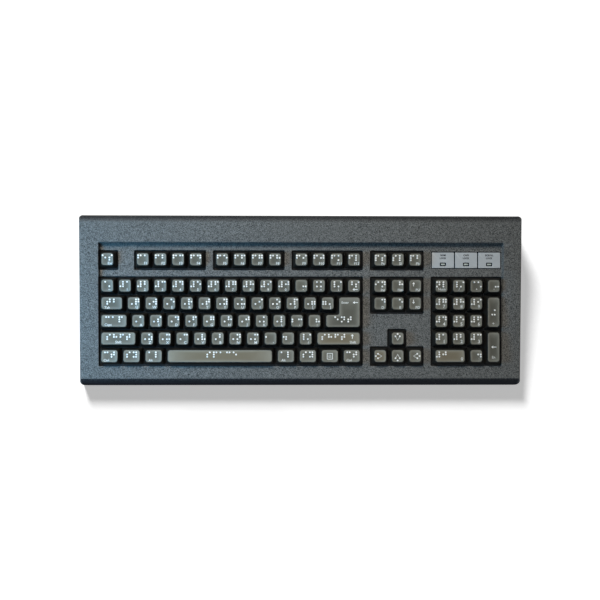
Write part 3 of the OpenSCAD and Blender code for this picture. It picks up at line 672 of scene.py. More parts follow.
# Rounds the corners of the wells: square rings about a corner's middle become circles, fading out.
def roundWellCorners(x, v):
    radius = shell["wellCorner"]
    for left, right, front, rear in zip(wellLeft, wellRight, wellFront, wellRear):
        for middleX, sideX in ((left + radius, -1), (right - radius, 1)):
            for middleV, sideV in ((front + radius, -1), (rear - radius, 1)):
                a = (x - middleX) * sideX
                b = (v - middleV) * sideV
                square = np.maximum(a, b)
                circle = np.hypot(a, b)
                fade = 1 - smoothStep((square - radius - shell["wellRim"]) / radius)
                pull = np.where((a > 0) & (b > 0), fade * (square / np.maximum(circle, 1e-9) - 1), 0)
                x = x + pull * (x - middleX)
                v = v + pull * (v - middleV)
    return x, v


# Upper face over the grid: the cheeks' plane, blended into the rows' pocket between its two sides, let
# down by a quarter circle round each opening and by the recess of the panel; the lower face runs one
# wall below, and upright walls join the two round the openings.
def makeTopCase():
    columns = caseColumns()
    rowV, rowW, lipRun, backRun = caseRows()
    x, v = np.meshgrid(columns, rowV)
    plain = v * sinkRate
    inPocket = smoothStep((x - pocketLeft) / shell["leftDraft"] + 0.5)
    inPocket *= smoothStep((pocketRight - x) / shell["rightDraft"] + 0.5)
    w = plain + inPocket * (rowW[:, None] - plain)
    away = outside(x, v, wellLeft, wellRight, wellFront, wellRear)
    rim = shell["wellRim"]
    w -= rim - np.sqrt(rim**2 - np.clip(rim - away, 0, rim) ** 2)
    besidePanel = outside(x, v, panelX[:1], panelX[1:], panelV[:1], panelV[1:])
    w -= panel["sink"] * np.clip(1 - besidePanel / panel["draft"], 0, 1)
    roundX, roundV = roundWellCorners(x, v)
    upper = onDeck(np.stack([roundX, roundV, w], -1)) / mm
    lower = onDeck(np.stack([roundX, roundV, w - shell["wall"]], -1)) / mm
    rows, count = x.shape
    ids = np.arange(rows * count).reshape(rows, count)
    low = ids + rows * count
    middleX = (x[:-1, :-1] + x[1:, 1:]) / 2
    middleV = (v[:-1, :-1] + v[1:, 1:]) / 2
    solid = outside(middleX, middleV, wellLeft, wellRight, wellFront, wellRear) > 0
    cell = np.stack([ids[:-1, :-1], ids[:-1, 1:], ids[1:, 1:], ids[1:, :-1]], -1)
    faces = [cell[solid], (cell[solid] + rows * count)[:, ::-1]]
    # walls of the wells, where a solid cell meets an open one
    sideWall = np.stack([ids[:-1], low[:-1], low[1:], ids[1:]], -1)[:, 1:-1]
    frontWall = np.stack([ids[:, :-1], low[:, :-1], low[:, 1:], ids[:, 1:]], -1)[1:-1]
    faces += [
        sideWall[solid[:, :-1] & ~solid[:, 1:]],
        sideWall[~solid[:, :-1] & solid[:, 1:]][:, ::-1],
        frontWall[~solid[:-1] & solid[1:]],
        frontWall[solid[:-1] & ~solid[1:]][:, ::-1],
    ]
    face = {
        "points": np.concatenate([upper.reshape(-1, 3), lower.reshape(-1, 3)]) * mm,
        "faces": np.concatenate(faces),
        # painted shade: the floor of the panel's recess, seen in the gaps round the plates, is dark
        "values": {"trim": np.tile((besidePanel <= 0).ravel(), 2).astype(float)},
    }
    rimPart = caseRim(upper, lower, lipRun, backRun)
    whole = joinParts([face, rimPart])
    makePiece("top_case_shell", whole, casePlastic, "case", "case_plastic", ["top_case"], 35)


# Walls round the case: from the inner border down, under the seam and up; then a curve with a weighted
# middle point carries the wall over its edge, from the foot past the peak to the inner border.
def caseRim(upper, lower, lipRun, backRun):
    rows, count = upper.shape[:2]
    side = shell["sideRadius"]
    radius = shell["cornerRadius"]
    turn = np.linspace(0, np.pi / 2, shell["cornerSteps"])
    across = np.arange(1, count - 1)
    along = np.arange(1, rows - 1)
    last = (rows - 1, count - 1)
    runs = []  # row, column, outer x, outer y, run of the edge rounding

    def straight(row, column, outX, outY, run):
        length = max(np.size(row), np.size(column))
        runs.append([np.broadcast_to(part, length) for part in (row, column, outX, outY, run)])

    def corner(row, column, fromAngle, runFrom, runTo):
        middleX = (halfWide - radius) * (1 if column else -1)
        middleY = rearY - radius if row else frontY + radius
        angle = fromAngle + turn
        run = runFrom + (runTo - runFrom) * turn / turn[-1]
        outX = middleX + radius * np.cos(angle)
        outY = middleY + radius * np.sin(angle)
        straight(np.full(len(turn), row), column, outX, outY, run)

    straight(0, across, upper[0, 1:-1, 0], frontY, lipRun)
    corner(0, last[1], -np.pi / 2, lipRun, side)
    straight(along, last[1], halfWide, upper[1:-1, -1, 1], side)
    corner(last[0], last[1], 0, side, backRun)
    straight(last[0], across[::-1], upper[-1, -2:0:-1, 0], rearY, backRun)
    corner(last[0], 0, np.pi / 2, backRun, side)
    straight(along[::-1], 0, -halfWide, upper[-2:0:-1, 0, 1], side)
    corner(0, 0, np.pi, side, lipRun)
    row, column, outX, outY, run = (np.concatenate([part[i] for part in runs]) for i in range(5))
    inner = upper[row.astype(int), column.astype(int)]
    innerLow = lower[row.astype(int), column.astype(int)]
    outZ = cheekZ(outY)
    seam = np.full(len(run), shell["seam"])
    gap = shell["ringGap"]
    notch = np.minimum(shell["seam"] + shell["glandHeight"], outZ - run - 2.5 * gap)
    innerNotch = np.minimum(notch, innerLow[:, 2] - gap)
    inline = inner[:, :2]
    outline = np.column_stack([outX, outY])
    peak = lift(outline, outZ)
    foot = lift(outline, outZ - run)
    rings = [
        innerLow, lift(inline, innerNotch), lift(inline, seam),
        lift(outline, seam), lift(outline, notch), lift(outline, outZ - run - gap), foot,
    ]
    roundness = math.sqrt(0.5)  # makes a circle of the curve below
    atFront = np.where(outY < 0, (run - side) / (lipRun - side), 0.0)
    atRear = np.where(outY > 0, (run - side) / (backRun - side), 0.0)
    fullness = roundness + (shell["lipFullness"] - roundness) * atFront
    # painted shade: dark on the front wall and most of the lip, darkest half way round the rear edge
    paintedShades = [0 * run] * 3 + [atFront] * 4
    for share in np.linspace(0, 1, shell["edgeSteps"])[1:-1]:
        begin = (1 - share) ** 2
        bulge = 2 * fullness[:, None] * share * (1 - share)
        rings.append((begin * foot + bulge * peak + share**2 * inner) / (begin + bulge + share**2))
        front = atFront * (share < shell["lipTrim"]) * (1 - shell["lipFade"] * share**2)
        paintedShades.append(front + shell["rearTrim"] * atRear * math.sin(math.pi * share))
    rings.append(inner)
    paintedShades.append(0 * run)
    size = len(run)
    faces = ringFaces(len(rings), size).reshape(len(rings) - 1, size, 4)
    middleX = (outX + np.roll(outX, -1)) / 2
    gland = (outY > rearY - 0.01) & (np.abs(middleX - shell["glandX"]) < shell["glandHalf"])
    keep = np.ones(faces.shape[:2], bool)
    keep[1:4, gland] = False  # the notch that the cable gland fills, between rings 1 and 4
    span = np.flatnonzero(gland)
    innerSeat = size + span
    outerSeat = 4 * size + span
    roof = np.stack([innerSeat, innerSeat + 1, outerSeat + 1, outerSeat], -1)
    ends = np.array([[span.min()], [span.max() + 1]])
    cheeks = np.array([[1, 2, 3, 4], [4, 3, 2, 1]]) * size + ends
    return {
        "points": np.concatenate(rings) * mm,
        "faces": np.concatenate([faces[keep], roof, cheeks]),
        "values": {"trim": np.concatenate(paintedShades)},
    }


makeTopCase()
print("top case made")

# Keycaps: hollow lofts with a dished top, a rounded edge and a thin label that carries the dots.
cap = {
    "gap": 0.85,
    "insetX": 2.7,
    "insetV": 2.5,
    "back": 0.2,
    "drop": 1.2,
    "wall": 1.3,
    "ceiling": 5.2,
    "innerRadius": 0.4,
    "baseRadius": 0.8,
    "topRadius": 2.7,
    "edge": 0.6,
    # pale rim of wear and painted highlight over the edge rounding's rings
    "rubbed": (0.1, 0.35, 0.6, 0.6, 0.55, 0.5, 0.25, 0.08, 0.0, 0.0, 0.0),  # paleness, edge to middle
    "dish": 0.85,
    "dishUpTo": 5,  # key pitches; wider keys have a flat top
    "land": 0.5,
    "labelInset": 0.3,
    "labelThick": 0.08,
    "labelSlope": 0.06,
    "labelRings": (1.0, 0.85, 0.65, 0.42, 0.2, 0.0),
    "stemHalf": 2.7,
    "stemLow": -6.5,
    "stemRadius": 0.3,
    "stemInCap": 0.4,
    "toneSeed": 5,
    "toneLow": 0.25,
    "toneSpread": 0.16,
}
# Rows from the front: the middle in key pitches, height of the tops and their tilt.
rowAt = [0.5, 1.5, 2.5, 3.5, 4.5, 6]
rowTop = [8, 7.8, 7.6, 8, 8.6, 8.6]
rowTilt = [-5, -4, 0, 3, 6, 6]
# Node, left end and row in key pitches, width of each key, then braille and print of each key.
keyRuns = [
    ("escape_key", 0, 5, 1, "es:Esc"),
    ("f1_to_f4_keys", 2, 5, 1, "fa:F1|fb:F2|fc:F3|fd:F4"),
    ("f5_to_f8_keys", 6.5, 5, 1, "fe:F5|ff:F6|fg:F7|fh:F8"),
    ("f9_to_f12_keys", 11, 5, 1, "fi:F9|fj:F10|fk:F11|fl:F12"),
    ("print_scroll_pause_keys", 15.5, 5, 1, "ps:Ps|sl:Sl|pb:Pb"),
    ("left_number_keys", 0, 4, 1, "@':~|#a:1|#b:2|#c:3|#d:4|#e:5"),
    ("right_number_keys", 6, 4, 1, "#f:6|#g:7|#h:8|#i:9|#j:0| -:-|.k:=|_/:\\"),
    ("backspace_key", 14, 4, 1, "^s:"),
    ("tab_key", 0, 3, 1.5, "tb:Tab"),
    ("upper_left_letter_keys", 1.5, 3, 1, ",q:Q|,w:W|,e:E|,r:R|,t:T"),
    ("upper_right_letter_keys", 6.5, 3, 1, ",y:Y|,u:U|,i:I|,o:O|,p:P|,7:[|7':]"),
    ("caps_lock_key", 0, 2, 1.75, "cap:Caps"),
    ("home_left_letter_keys", 1.75, 2, 1, ",a:A|,s:S|,d:D|,f:F|,g:G"),
    ("home_right_letter_keys", 6.75, 2, 1, ",h:H|,j:J|,k:K|,l:L|23:;| 8:'"),
    ("left_shift_key", 0, 1, 2.25, "shft:Shift"),
    ("lower_left_letter_keys", 2.25, 1, 1, ",z:Z|,x:X|,c:C|,v:V|,b:B"),
    ("lower_right_letter_keys", 7.25, 1, 1, ",n:N|,m:M|1 :,|4 :.|_/:/"),
    ("right_shift_key", 12.25, 1, 2.75, "shft:Shift"),
    ("left_modifier_keys", 0, 0, 1.25, "ct:Ctrl|sy:|al:Alt"),
    ("space_bar", 3.75, 0, 6.25, "space:"),
    ("right_modifier_keys", 10, 0, 1.25, "al:Alt|sy:|:|ct:Ctrl"),
    ("navigation_keys", 15.5, 4, 1, "in:Ins| h:Hm|:PU"),
    ("navigation_keys", 15.5, 3, 1, " d:D| e:E|:PD"),
    ("up_arrow_key", 16.5, 1, 1, ":"),
    ("left_arrow_key", 15.5, 0, 1, ":"),
    ("down_arrow_key", 16.5, 0, 1, ":"),
    ("right_arrow_key", 17.5, 0, 1, ":"),
    ("number_pad_operator_keys", 19, 4, 1, "nl:Num|_/:/|@*:*| -:-"),
    ("number_pad_digit_keys", 19, 3, 1, "#g:7|#h:8|#i:9"),
    ("number_pad_digit_keys", 19, 2, 1, "#d:4|#e:5|#f:6"),
    ("number_pad_digit_keys", 19, 1, 1, "#a:1|#b:2|#c:3"),
    ("number_pad_digit_keys", 21, 0, 1, " 4:."),
    ("number_pad_zero_key", 19, 0, 2, "#j:0"),
]
# Keys two rows deep: node, middle in key pitches, width, row of its height, then braille and print.
tallKeys = [
    ("number_pad_plus_key", 22.5, 3, 1, 3, "+", "+"),
    ("number_pad_enter_key", 22.5, 1, 1, 1, "", "En"),
    ("enter_key", 13.875, 2.5, 2.25, 2, "ent", "Enter"),
]
arrowTurns = {"up_arrow_key": 0, "left_arrow_key": 90, "down_arrow_key": 180, "right_arrow_key": 270}
labelShifts = {"right_shift_key": -0.3, "space_bar": 0.1, "number_pad_zero_key": -0.5}  # in key pitches
warmLabels = {"right_shift_key": 0.6, "space_bar": 0.5, "number_pad_zero_key": 0.5, "left_arrow_key": 0.5}
darkLabels = {"enter_key": 0.4, "number_pad_plus_key": 0.5, "number_pad_enter_key": 0.3}
keys = []
for node, left, row, units, signs in keyRuns:
    for place, sign in enumerate(signs.split("|")):
        dots, legend = sign.split(":", 1)
        keys.append({
            "node": node, "x": keyX(left + (place + 0.5) * units), "v": keyV(rowAt[row]),
            "units": units, "deep": 1, "top": rowTop[row], "tilt": rowTilt[row],
            "dots": dots, "legend": legend,
        })
for node, x, v, units, row, dots, legend in tallKeys:
    keys.append({
        "node": node, "x": keyX(x), "v": keyV(v), "units": units, "deep": 2,
        "top": rowTop[row], "tilt": 0, "dots": dots, "legend": legend,
    })
keys[-1]["upper"] = 1.5  # width of the rear half of the enter key


# Corners of a key about its middle: four, or six where the rear half is narrower.
def keyCorners(key, insetX, insetV, back):
    half = key["units"] * deck["pitch"] / 2
    deep = key["deep"] * deck["pitch"] / 2
    left = insetX - half
    right = half - insetX
    if "upper" not in key:
        return rectangle(left, right, insetV - deep + back, deep - insetV + back)
    step = deck["pitch"] / 2
    inner = half - key["upper"] * deck["pitch"] + insetX
    front = back - step + insetV
    bend = back + step - insetV
    rear = back + 3 * step - insetV
    return [(left, front), (right, front), (right, rear), (inner, rear), (inner, bend), (left, bend)]


# Height of a key top: a tilted plane with a round trough along v, none on the space bar.
def topHeight(key, x, v):
    half = key["units"] * deck["pitch"] / 2 - cap["gap"] / 2 - cap["insetX"] - cap["land"]
    depth = cap["dish"] if key["units"] < cap["dishUpTo"] else 0.0
    bow = (half**2 + depth**2) / (2 * max(depth, 1e-6))
    trough = np.sqrt(bow**2 - np.clip(np.abs(x), 0, half) ** 2)
    return key["top"] + v * math.tan(math.radians(key["tilt"])) + (bow - depth - trough) * (depth > 0)


# Cap: walls run straight from the base outline to the smaller top outline, a parabola rounds the edge,
# and the label is a low step whose rings shrink to the middle along the height of the top.
def capShape(key, tone):
    gap = cap["gap"] / 2
    edge = cap["edge"]
    rise = (cap["ceiling"] + cap["drop"]) / (key["top"] + cap["drop"])

    def outline(insetX, insetV, radius, back=0.0):
        return roundedOutline(keyCorners(key, gap + insetX, gap + insetV, back), radius)

    def onTop(inset, radius):
        shape = outline(cap["insetX"] + inset, cap["insetV"] + inset, radius, cap["back"])
        return lift(shape, topHeight(key, *shape.T))

    wall = cap["wall"]
    bore = cap["innerRadius"]
    inside = outline(wall + rise * cap["insetX"], wall + rise * cap["insetV"], bore, rise * cap["back"])
    base = lift(outline(0, 0, cap["baseRadius"]), -cap["drop"])
    peak = onTop(0, cap["topRadius"])
    brim = onTop(edge, cap["topRadius"] - 0.5 * edge)
    rim = base + (peak - base) * (1 - edge / key["top"])
    left = keyCorners(key, 0, 0, 0)[3][0] if "upper" in key else inside[:, 0].min()
    middle = np.array([(inside[:, 0].max() + left) / 2, cap["back"]])
    rings = [
        np.broadcast_to([*middle, cap["ceiling"]], (len(base), 3)),
        lift(inside, cap["ceiling"]),
        lift(outline(wall, wall, bore), -cap["drop"]),
        base,
        base + (peak - base) * 0.5,
    ]
    rings += [bent(share, rim, peak, brim) for share in np.linspace(0, 1, 6)]
    foot = edge + cap["labelInset"]
    rings.append(onTop(foot, cap["topRadius"] - 0.5 * foot))
    label = onTop(foot + cap["labelSlope"], cap["topRadius"] - 0.5 * foot)[:, :2]
    for share in cap["labelRings"]:
        spot = middle + (label - middle) * share
        rings.append(lift(spot, topHeight(key, *spot.T) + cap["labelThick"]))
    count = len(base)
    labelled = np.zeros(len(rings))
    labelled[-len(cap["labelRings"]):] = 1.0
    # rings of the edge rounding: pale with wear and a painted highlight
    rubbed = np.zeros(len(rings))
    rubbed[-len(cap["rubbed"]):] = cap["rubbed"]
    return ringMesh(
        rings, key["x"], key["v"],
        label=np.repeat(labelled, count),
        edge=np.repeat(rubbed, count),
        tone=tone - darkLabels.get(key["node"], 0.0),
        warm=warmLabels.get(key["node"], 0.0),
    )


# Stem under the cap, which slides in its barrel: a rounded square carried straight up.
def stemShape(key):
    half = cap["stemHalf"]
    square = roundedOutline(rectangle(-half, half, -half, half), cap["stemRadius"], 2, 1)
    low = cap["stemLow"]
    high = cap["ceiling"] + cap["stemInCap"]
    rings = [lift(square * 0, low), lift(square, low), lift(square, high), lift(square * 0, high)]
    return ringMesh(rings, key["x"], key["v"])


# Braille signs and the numbers of their raised dots; a space is an empty cell.
brailleDots = dict(zip(
    "abcdefghijklmnopqrstuvwxyz#,.'@^_-+*/123478 ",
    "1 12 14 145 15 124 1245 125 24 245 13 123 134 1345 135 1234 12345 1235 234 2345 136 1236 2456 "
    "1346 13456 1356 3456 6 46 3 4 45 456 36 346 16 34 2 23 25 256 2356 236 ".split(" "),
))
dot = {
    "radius": 1.0,
    "height": 0.45,
    "pitchX": 2.7,
    "pitchV": 2.4,
    "cell": 7.1,
    "rise": 1.9,
    "sunk": 0.15,
    "around": 10,
}


# Places of all raised dots of one key, counted from its middle: dots 1 to 3 run down the left column.
def dotPlaces(key):
    if key["node"] in arrowTurns:
        turn = math.radians(arrowTurns[key["node"]])
        peak = np.array([(0, 2), (-1, 1), (1, 1)]) * dot["pitchV"]
        x = peak @ [math.cos(turn), -math.sin(turn)]
        v = peak @ [math.sin(turn), math.cos(turn)] + cap["back"]
    else:
        cells = [brailleDots[sign] for sign in key["dots"]]
        spots = [(cell, int(number) - 1) for cell, numbers in enumerate(cells) for number in numbers]
        cell, number = np.array(spots).T
        middle = labelShifts.get(key["node"], 0.0) * deck["pitch"]
        start = middle - ((len(cells) - 1) * dot["cell"] + dot["pitchX"]) / 2
        x = start + cell * dot["cell"] + number // 3 * dot["pitchX"]
        rise = 0.0 if key["deep"] == 2 and "upper" not in key else dot["rise"]
        v = rise + (1 - number % 3) * dot["pitchV"]
    return np.column_stack([x, v, topHeight(key, x, v) + cap["labelThick"]])


# Domes of half an ellipse on a short foot, one for each place.
def dotShape(places):
    around = np.linspace(0, 2 * np.pi, dot["around"], endpoint=False)
    wide = np.array([0, 1, 0.98, 0.9, 0.62, 0]) * dot["radius"]
    rise = np.array([0, 0, 0.45, 0.8, 0.97, 1]) * dot["height"]
    high = np.where(np.arange(6) < 2, -dot["sunk"], rise)
    x = wide[:, None] * np.cos(around)
    v = wide[:, None] * np.sin(around)
    dome = np.stack(np.broadcast_arrays(x, v, high[:, None]), -1)
    points = places[:, None, None] + dome[None]
    return {
        "points": onDeck(points.reshape(-1, 3)),
        "faces": ringFaces(len(wide), dot["around"], len(places)),
        "values": {"ink": 1.0},
    }


# A word as flat triangles of a little thickness, the middle of its baseline at the origin.
def wordShape(word, size, thick, bold):
    curve = bpy.data.curves.new("word", "FONT")
    curve.body = word
    curve.size = size
    curve.extrude = thick / 2
    curve.offset = bold
    curve.resolution_u = 2
    holder = bpy.data.objects.new("word", curve)
    bpy.context.scene.collection.objects.link(holder)
    mesh = holder.evaluated_get(bpy.context.evaluated_depsgraph_get()).to_mesh()
    mesh.calc_loop_triangles()
    points = np.empty(len(mesh.vertices) * 3, np.float32)
    mesh.vertices.foreach_get("co", points)
    corners = np.empty(len(mesh.loop_triangles) * 3, np.int32)
    mesh.loop_triangles.foreach_get("vertices", corners)
    bpy.data.objects.remove(holder)
    bpy.data.curves.remove(curve)
    points = points.reshape(-1, 3).astype(float)
    points[:, 0] -= (points[:, 0].min() + points[:, 0].max()) / 2
    return points, corners.reshape(-1, 3)


# Middle of the print on a key, from the middle of the key, and its size; letters sit at the front right.
legendStyle = {
    "letter": (2.9, -4.1, 4.0),
    "left_number_keys": (2.2, -3.9, 3.8),
    "right_number_keys": (2.0, -3.9, 3.8),
    "tab_key": (-5.1, -4.4, 3.8),
    "caps_lock_key": (-6.4, -4.3, 3.8),
    "left_shift_key": (0.0, -3.6, 3.9),
    "right_shift_key": (15.5, -3.8, 3.9),
    "left_modifier_keys": (-3.4, -4.2, 3.6),
    "right_modifier_keys": (-2.8, -4.2, 3.6),
    "enter_key": (2.4, 20.2, 3.6),
    "number_pad_operator_keys": (0.4, -3.2, 4.0),
    "number_pad_digit_keys": (3.0, -3.0, 5.0),
    "number_pad_zero_key": (12.9, -2.9, 5.0),
    "number_pad_plus_key": (-0.3, -12.0, 4.6),
    "number_pad_enter_key": (0.0, -10.7, 3.8),
    "thick": 0.05,
    "bold": 0.05,
}
icon = {
    "ink": 0.9,  # 1 as white as the dots, 0 as grey as the letters
    "stem": 0.8,
    "headHalf": 1.6,
    "headLong": 2.1,
    "frameWide": 5.8,
    "frameDeep": 6.2,
    "frameLine": 0.6,
    "frameInk": 0.6,
    "textLine": 0.4,
    "textInk": 0.2,
    "textLevels": (-0.4, 0, 0.4),
    "tailLine": 0.45,
    "tailLong": 1.8,
}
# Printed arrows by node or print: the tip, the way it points in degrees from the rear, the length.
arrowPrints = {
    "backspace_key": ((-1.6, -3.7), 90, 5.6),
    "enter_key": ((10.6, 20.2), 90, 5.6),
    "number_pad_enter_key": ((-2.6, 0.4), 90, 5.6),
    "right_shift_key": ((14.9, 5.0), 0, 5.0),
    "PU": ((-1.8, 4.4), 0, 4.6),
    "PD": ((-1.8, -0.3), 180, 4.6),
}


# Print of a key: the word about its middle, lifted by the height of the top and of the label.
def legendShape(key):
    x, v, size = legendStyle.get(key["node"], legendStyle["letter"])
    points, corners = wordShape(key["legend"], size, legendStyle["thick"], legendStyle["bold"])
    points[:, 0] += x
    points[:, 1] += v - (points[:, 1].min() + points[:, 1].max()) / 2
    points[:, 2] += topHeight(key, points[:, 0], points[:, 1]) + cap["labelThick"]
    return {"points": onDeck(points + [key["x"], key["v"], 0]), "faces": corners}


# Flat figure with a convex outline on a key top, as a low prism.
def figureShape(key, outline, ink):
    outline = np.asarray(outline, float)
    middle = np.broadcast_to(outline.mean(0), outline.shape)
    low = topHeight(key, *outline.T)
    high = low + cap["labelThick"] + legendStyle["thick"]
    rings = [lift(middle, low.mean()), lift(outline, low), lift(outline, high), lift(middle, high.mean())]
    return ringMesh(rings, key["x"], key["v"], ink=ink)


# Stroke: half its width to each side of the line between two points.
def strokeShape(key, begin, end, wide, ink):
    begin, end = np.array(begin, float), np.array(end, float)
    along = (end - begin) / np.linalg.norm(end - begin)
    side = np.array([-along[1], along[0]]) * wide / 2
    return figureShape(key, [begin - side, end - side, end + side, begin + side], ink)


# Arrow with a full head: a triangle behind the tip and a stroke along the rest of its length.
def arrowShapes(key, tip, turn, length):
    angle = math.radians(turn)
    ahead = np.array([-math.sin(angle), math.cos(angle)])
    side = np.array([ahead[1], -ahead[0]]) * icon["headHalf"]
    tip = np.array(tip, float)
    base = tip - ahead * icon["headLong"]
    return [
        figureShape(key, [tip, base - side, base + side], icon["ink"]),
        strokeShape(key, base, tip - ahead * length, icon["stem"], icon["ink"]),
    ]


# Menu frame: strokes between the corners of a sheet and fainter ones across it.
def frameShapes(key):
    x = icon["frameWide"] / 2
    v = icon["frameDeep"] / 2
    corners = rectangle(-x, x, -v, v)
    shapes = []
    for begin, end in zip(corners, corners[1:] + corners[:1]):
        shapes.append(strokeShape(key, begin, end, icon["frameLine"], icon["frameInk"]))
    for level in icon["textLevels"]:
        ends = (-0.6 * x, level * v), (0.6 * x, level * v)
        shapes.append(strokeShape(key, *ends, icon["textLine"], icon["textInk"]))
    return shapes


# Printed figures besides the letters: arrows, the menu frame and the tails of the arrow keys.
def figureShapes(key, place):
    node = key["node"]
    arrow = arrowPrints.get(node) or arrowPrints.get(key["legend"])
    if arrow:
        return arrowShapes(key, *arrow)
    if node == "right_modifier_keys" and place == 2:
        return frameShapes(key)
    if node in arrowTurns:
        places = dotPlaces(key)[:, :2]
        base = places[1:].mean(0)
        tail = base - (places[0] - base) * icon["tailLong"]
        return [strokeShape(key, begin, tail, icon["tailLine"], 0.0) for begin in places[1:]]
    return []


toneHigh = cap["toneLow"] + 2 * cap["toneSpread"]
tones = np.random.default_rng(cap["toneSeed"]).uniform(cap["toneLow"], toneHigh, len(keys))
for node in dict.fromkeys(key["node"] for key in keys):
    members = [(key, tone) for key, tone in zip(keys, tones) if key["node"] == node]
    caps = [capShape(key, tone) for key, tone in members] + [stemShape(key) for key, tone in members]
    makePiece(node + "_caps", joinParts(caps), capPlastic, node, "key_plastic", [node])
    dotted = [key for key, tone in members if key["dots"] or node in arrowTurns]
    marks = [dotShape(dotPlaces(key) + [key["x"], key["v"], 0]) for key in dotted]
    marks += [legendShape(key) for key, tone in members if key["legend"]]
    marks += [figure for place, (key, tone) in enumerate(members) for figure in figureShapes(key, place)]
    if marks:
        makePiece(node + "_marks", joinParts(marks), whitePaint, node, "key_plastic")
print(len(keys), "keys made")

# Indicator plates: each a thin plate with a window, a milky lens in it and two lines of print.
plate = {
    "gap": 1.2,
    "margin": 0.8,
    "thick": 0.9,
    "radius": 0.6,
    "edge": 0.15,
    "windowV": -4.5,
    "lensWide": 4.6,
    "lensDeep": 1.7,
    "lensTop": -0.3,
    "lensCrown": 0.25,
    "windowPlay": 1.1,
    "windowRadius": 0.8,
    "print": (("NUM", "LOCK"), ("CAPS", "LOCK"), ("SCROLL", "LOCK")),
    "printSize": 2.6,
    "printBold": 0.13,
    "printThick": 0.04,
    "printV": (4.6, 1.4),
}
plateWide = (panel["wide"] - 2 * plate["margin"] - 2 * plate["gap"]) / 3
plateDeep = panel["deep"] - 2 * plate["margin"]


# Rounded rectangle about a middle.
def slabOutline(x, v, wide, deep, radius):
    return roundedOutline(rectangle(x - wide / 2, x + wide / 2, v - deep / 2, v + deep / 2), radius, 4, 4)


# Plate with a window: rings run over the outer side, across the face and down the window's side.
def plateShape(x):
    low = -panel["sink"]
    top = low + plate["thick"]
    edge = plate["edge"]
    v = panel["v"]
    window = v + plate["windowV"]
    outer = slabOutline(x, v, plateWide, plateDeep, plate["radius"])
    inset = slabOutline(x, v, plateWide - 2 * edge, plateDeep - 2 * edge, plate["radius"])
    openWide = plate["lensWide"] + 2 * plate["windowPlay"]
    openDeep = plate["lensDeep"] + 2 * plate["windowPlay"]
    radius = plate["windowRadius"]
    hole = slabOutline(x, window, openWide, openDeep, radius)
    brim = slabOutline(x, window, openWide + 2 * edge, openDeep + 2 * edge, radius + 0.1)
    return ringMesh([
        lift(outer, low), lift(outer, top - edge), lift(inset, top), lift(brim, top),
        lift(hole, top - edge), lift(hole, low), lift(outer, low),
    ])


# Lens: a rounded bar whose face falls with the square of the way from its middle.
def lensShape(x):
    window = panel["v"] + plate["windowV"]
    outer = slabOutline(x, window, plate["lensWide"], plate["lensDeep"], plate["windowRadius"])
    middle = np.array([x, window])
    top = plate["lensTop"]
    low = -panel["sink"]
    rings = [lift(outer * 0 + middle, low), lift(outer, low), lift(outer, top - plate["lensCrown"])]
    for share in (0.92, 0.7, 0.35, 0.0):
        rings.append(lift(middle + (outer - middle) * share, top - plate["lensCrown"] * share**2))
    return ringMesh(rings)


# Print of a plate: the word on its flat face.
def printShape(word, x, v):
    points, corners = wordShape(word, plate["printSize"], plate["printThick"], plate["printBold"])
    return {"points": onDeck(points + [x, v, plate["thick"] - panel["sink"]]), "faces": corners}


plateX = panel["x"] + np.array([-1, 0, 1]) * (plateWide + plate["gap"])
plates = joinParts([plateShape(x) for x in plateX])
lenses = joinParts([lensShape(x) for x in plateX])
makePiece("indicator_plate_set", plates, platePlastic, "case", "plate_plastic", ["indicator_plates"])
makePiece("indicator_lens_set", lenses, lensResin, "case", "lens_plastic", ["indicator_lenses"])
lines = [
    printShape(word, x, panel["v"] + v)
    for x, words in zip(plateX, plate["print"])
    for word, v in zip(words, plate["printV"])
]
makePiece("indicator_print", joinParts(lines), inkPaint, "case", "plate_plastic")
print("indicator panel made")

# Carried-over nodes keep their shape and get a finish of their own.
finishes = {
    "bottom_case": casePlastic,
    "key_guide_plate": guidePlastic,
    "dome_sheet": domeRubber,
    "upper_membrane": filmPlastic,
    "membrane_spacer": filmPlastic,
    "lower_membrane": filmPlastic,
    "back_plate": sheetSteel,
    "controller_board": boardLacquer,
    "controller_chip": chipEpoxy,
    "cable_header": headerPlastic,
    "indicator_lamps": lampResin,
    "membrane_clamp": sheetSteel,
    "case_screws": screwSteel,
    "small_screws": screwSteel,
    "rubber_pads": padRubber,
    "cable_gland": padRubber,
    "left_tilt_foot": footPlastic,
    "right_tilt_foot": footPlastic,
}
for name, node in frame["nodes"].items():
    finish = wireSteel if name.endswith("_wire") else finishes.get(name)
    if finish:
        node.data.materials.clear()
        node.data.materials.append(finish)
print("finishes given")

# Stage, in metres: a pale floor with a lamp of its own for the long shadow; a cool window and a warm
# lamp light the keyboard.
stage = {
    "floorSize": 8.0,
    "floorColour": (0.95, 0.95, 0.95, 1.0),
    "floorGlow": 0.45,
    "floorBounce": 0.05,
    "skyLight": 0.03,
}
lamps = [
    {
        "name": "windowLamp", "lights": "keyboard", "at": (-0.5, -0.08, 0.36), "aim": (-0.2, -0.04, 0),
        "size": 0.25, "spread": 130, "watts": 1.5, "tint": (0.22, 0.62, 1.0),
    },
    {
        "name": "ceilingLamp", "lights": "keyboard", "at": (-0.6, 1.1, 1.8), "aim": (-0.1, -0.05, 0),
        "size": 0.6, "spread": 44, "watts": 3.1, "tint": (1.0, 0.94, 0.83),
    },
    {
        "name": "floorLamp", "lights": "floor", "at": (-2.15, 6.0, 3.7), "aim": (0, 0, 0),
        "size": 2.2, "spread": 180, "watts": 785.0, "tint": (1.0, 1.0, 1.0),
    },
]


# Share of the rays that show the backdrop: from the camera, off metal or through glass.
def showsBackdrop(start):
    seen = start.node("LightPath", output="Is Camera Ray")
    for other in ("Is Glossy Ray", "Is Transmission Ray"):
        seen = start.maths("MAXIMUM", seen, start.node("LightPath", output=other))
    return seen


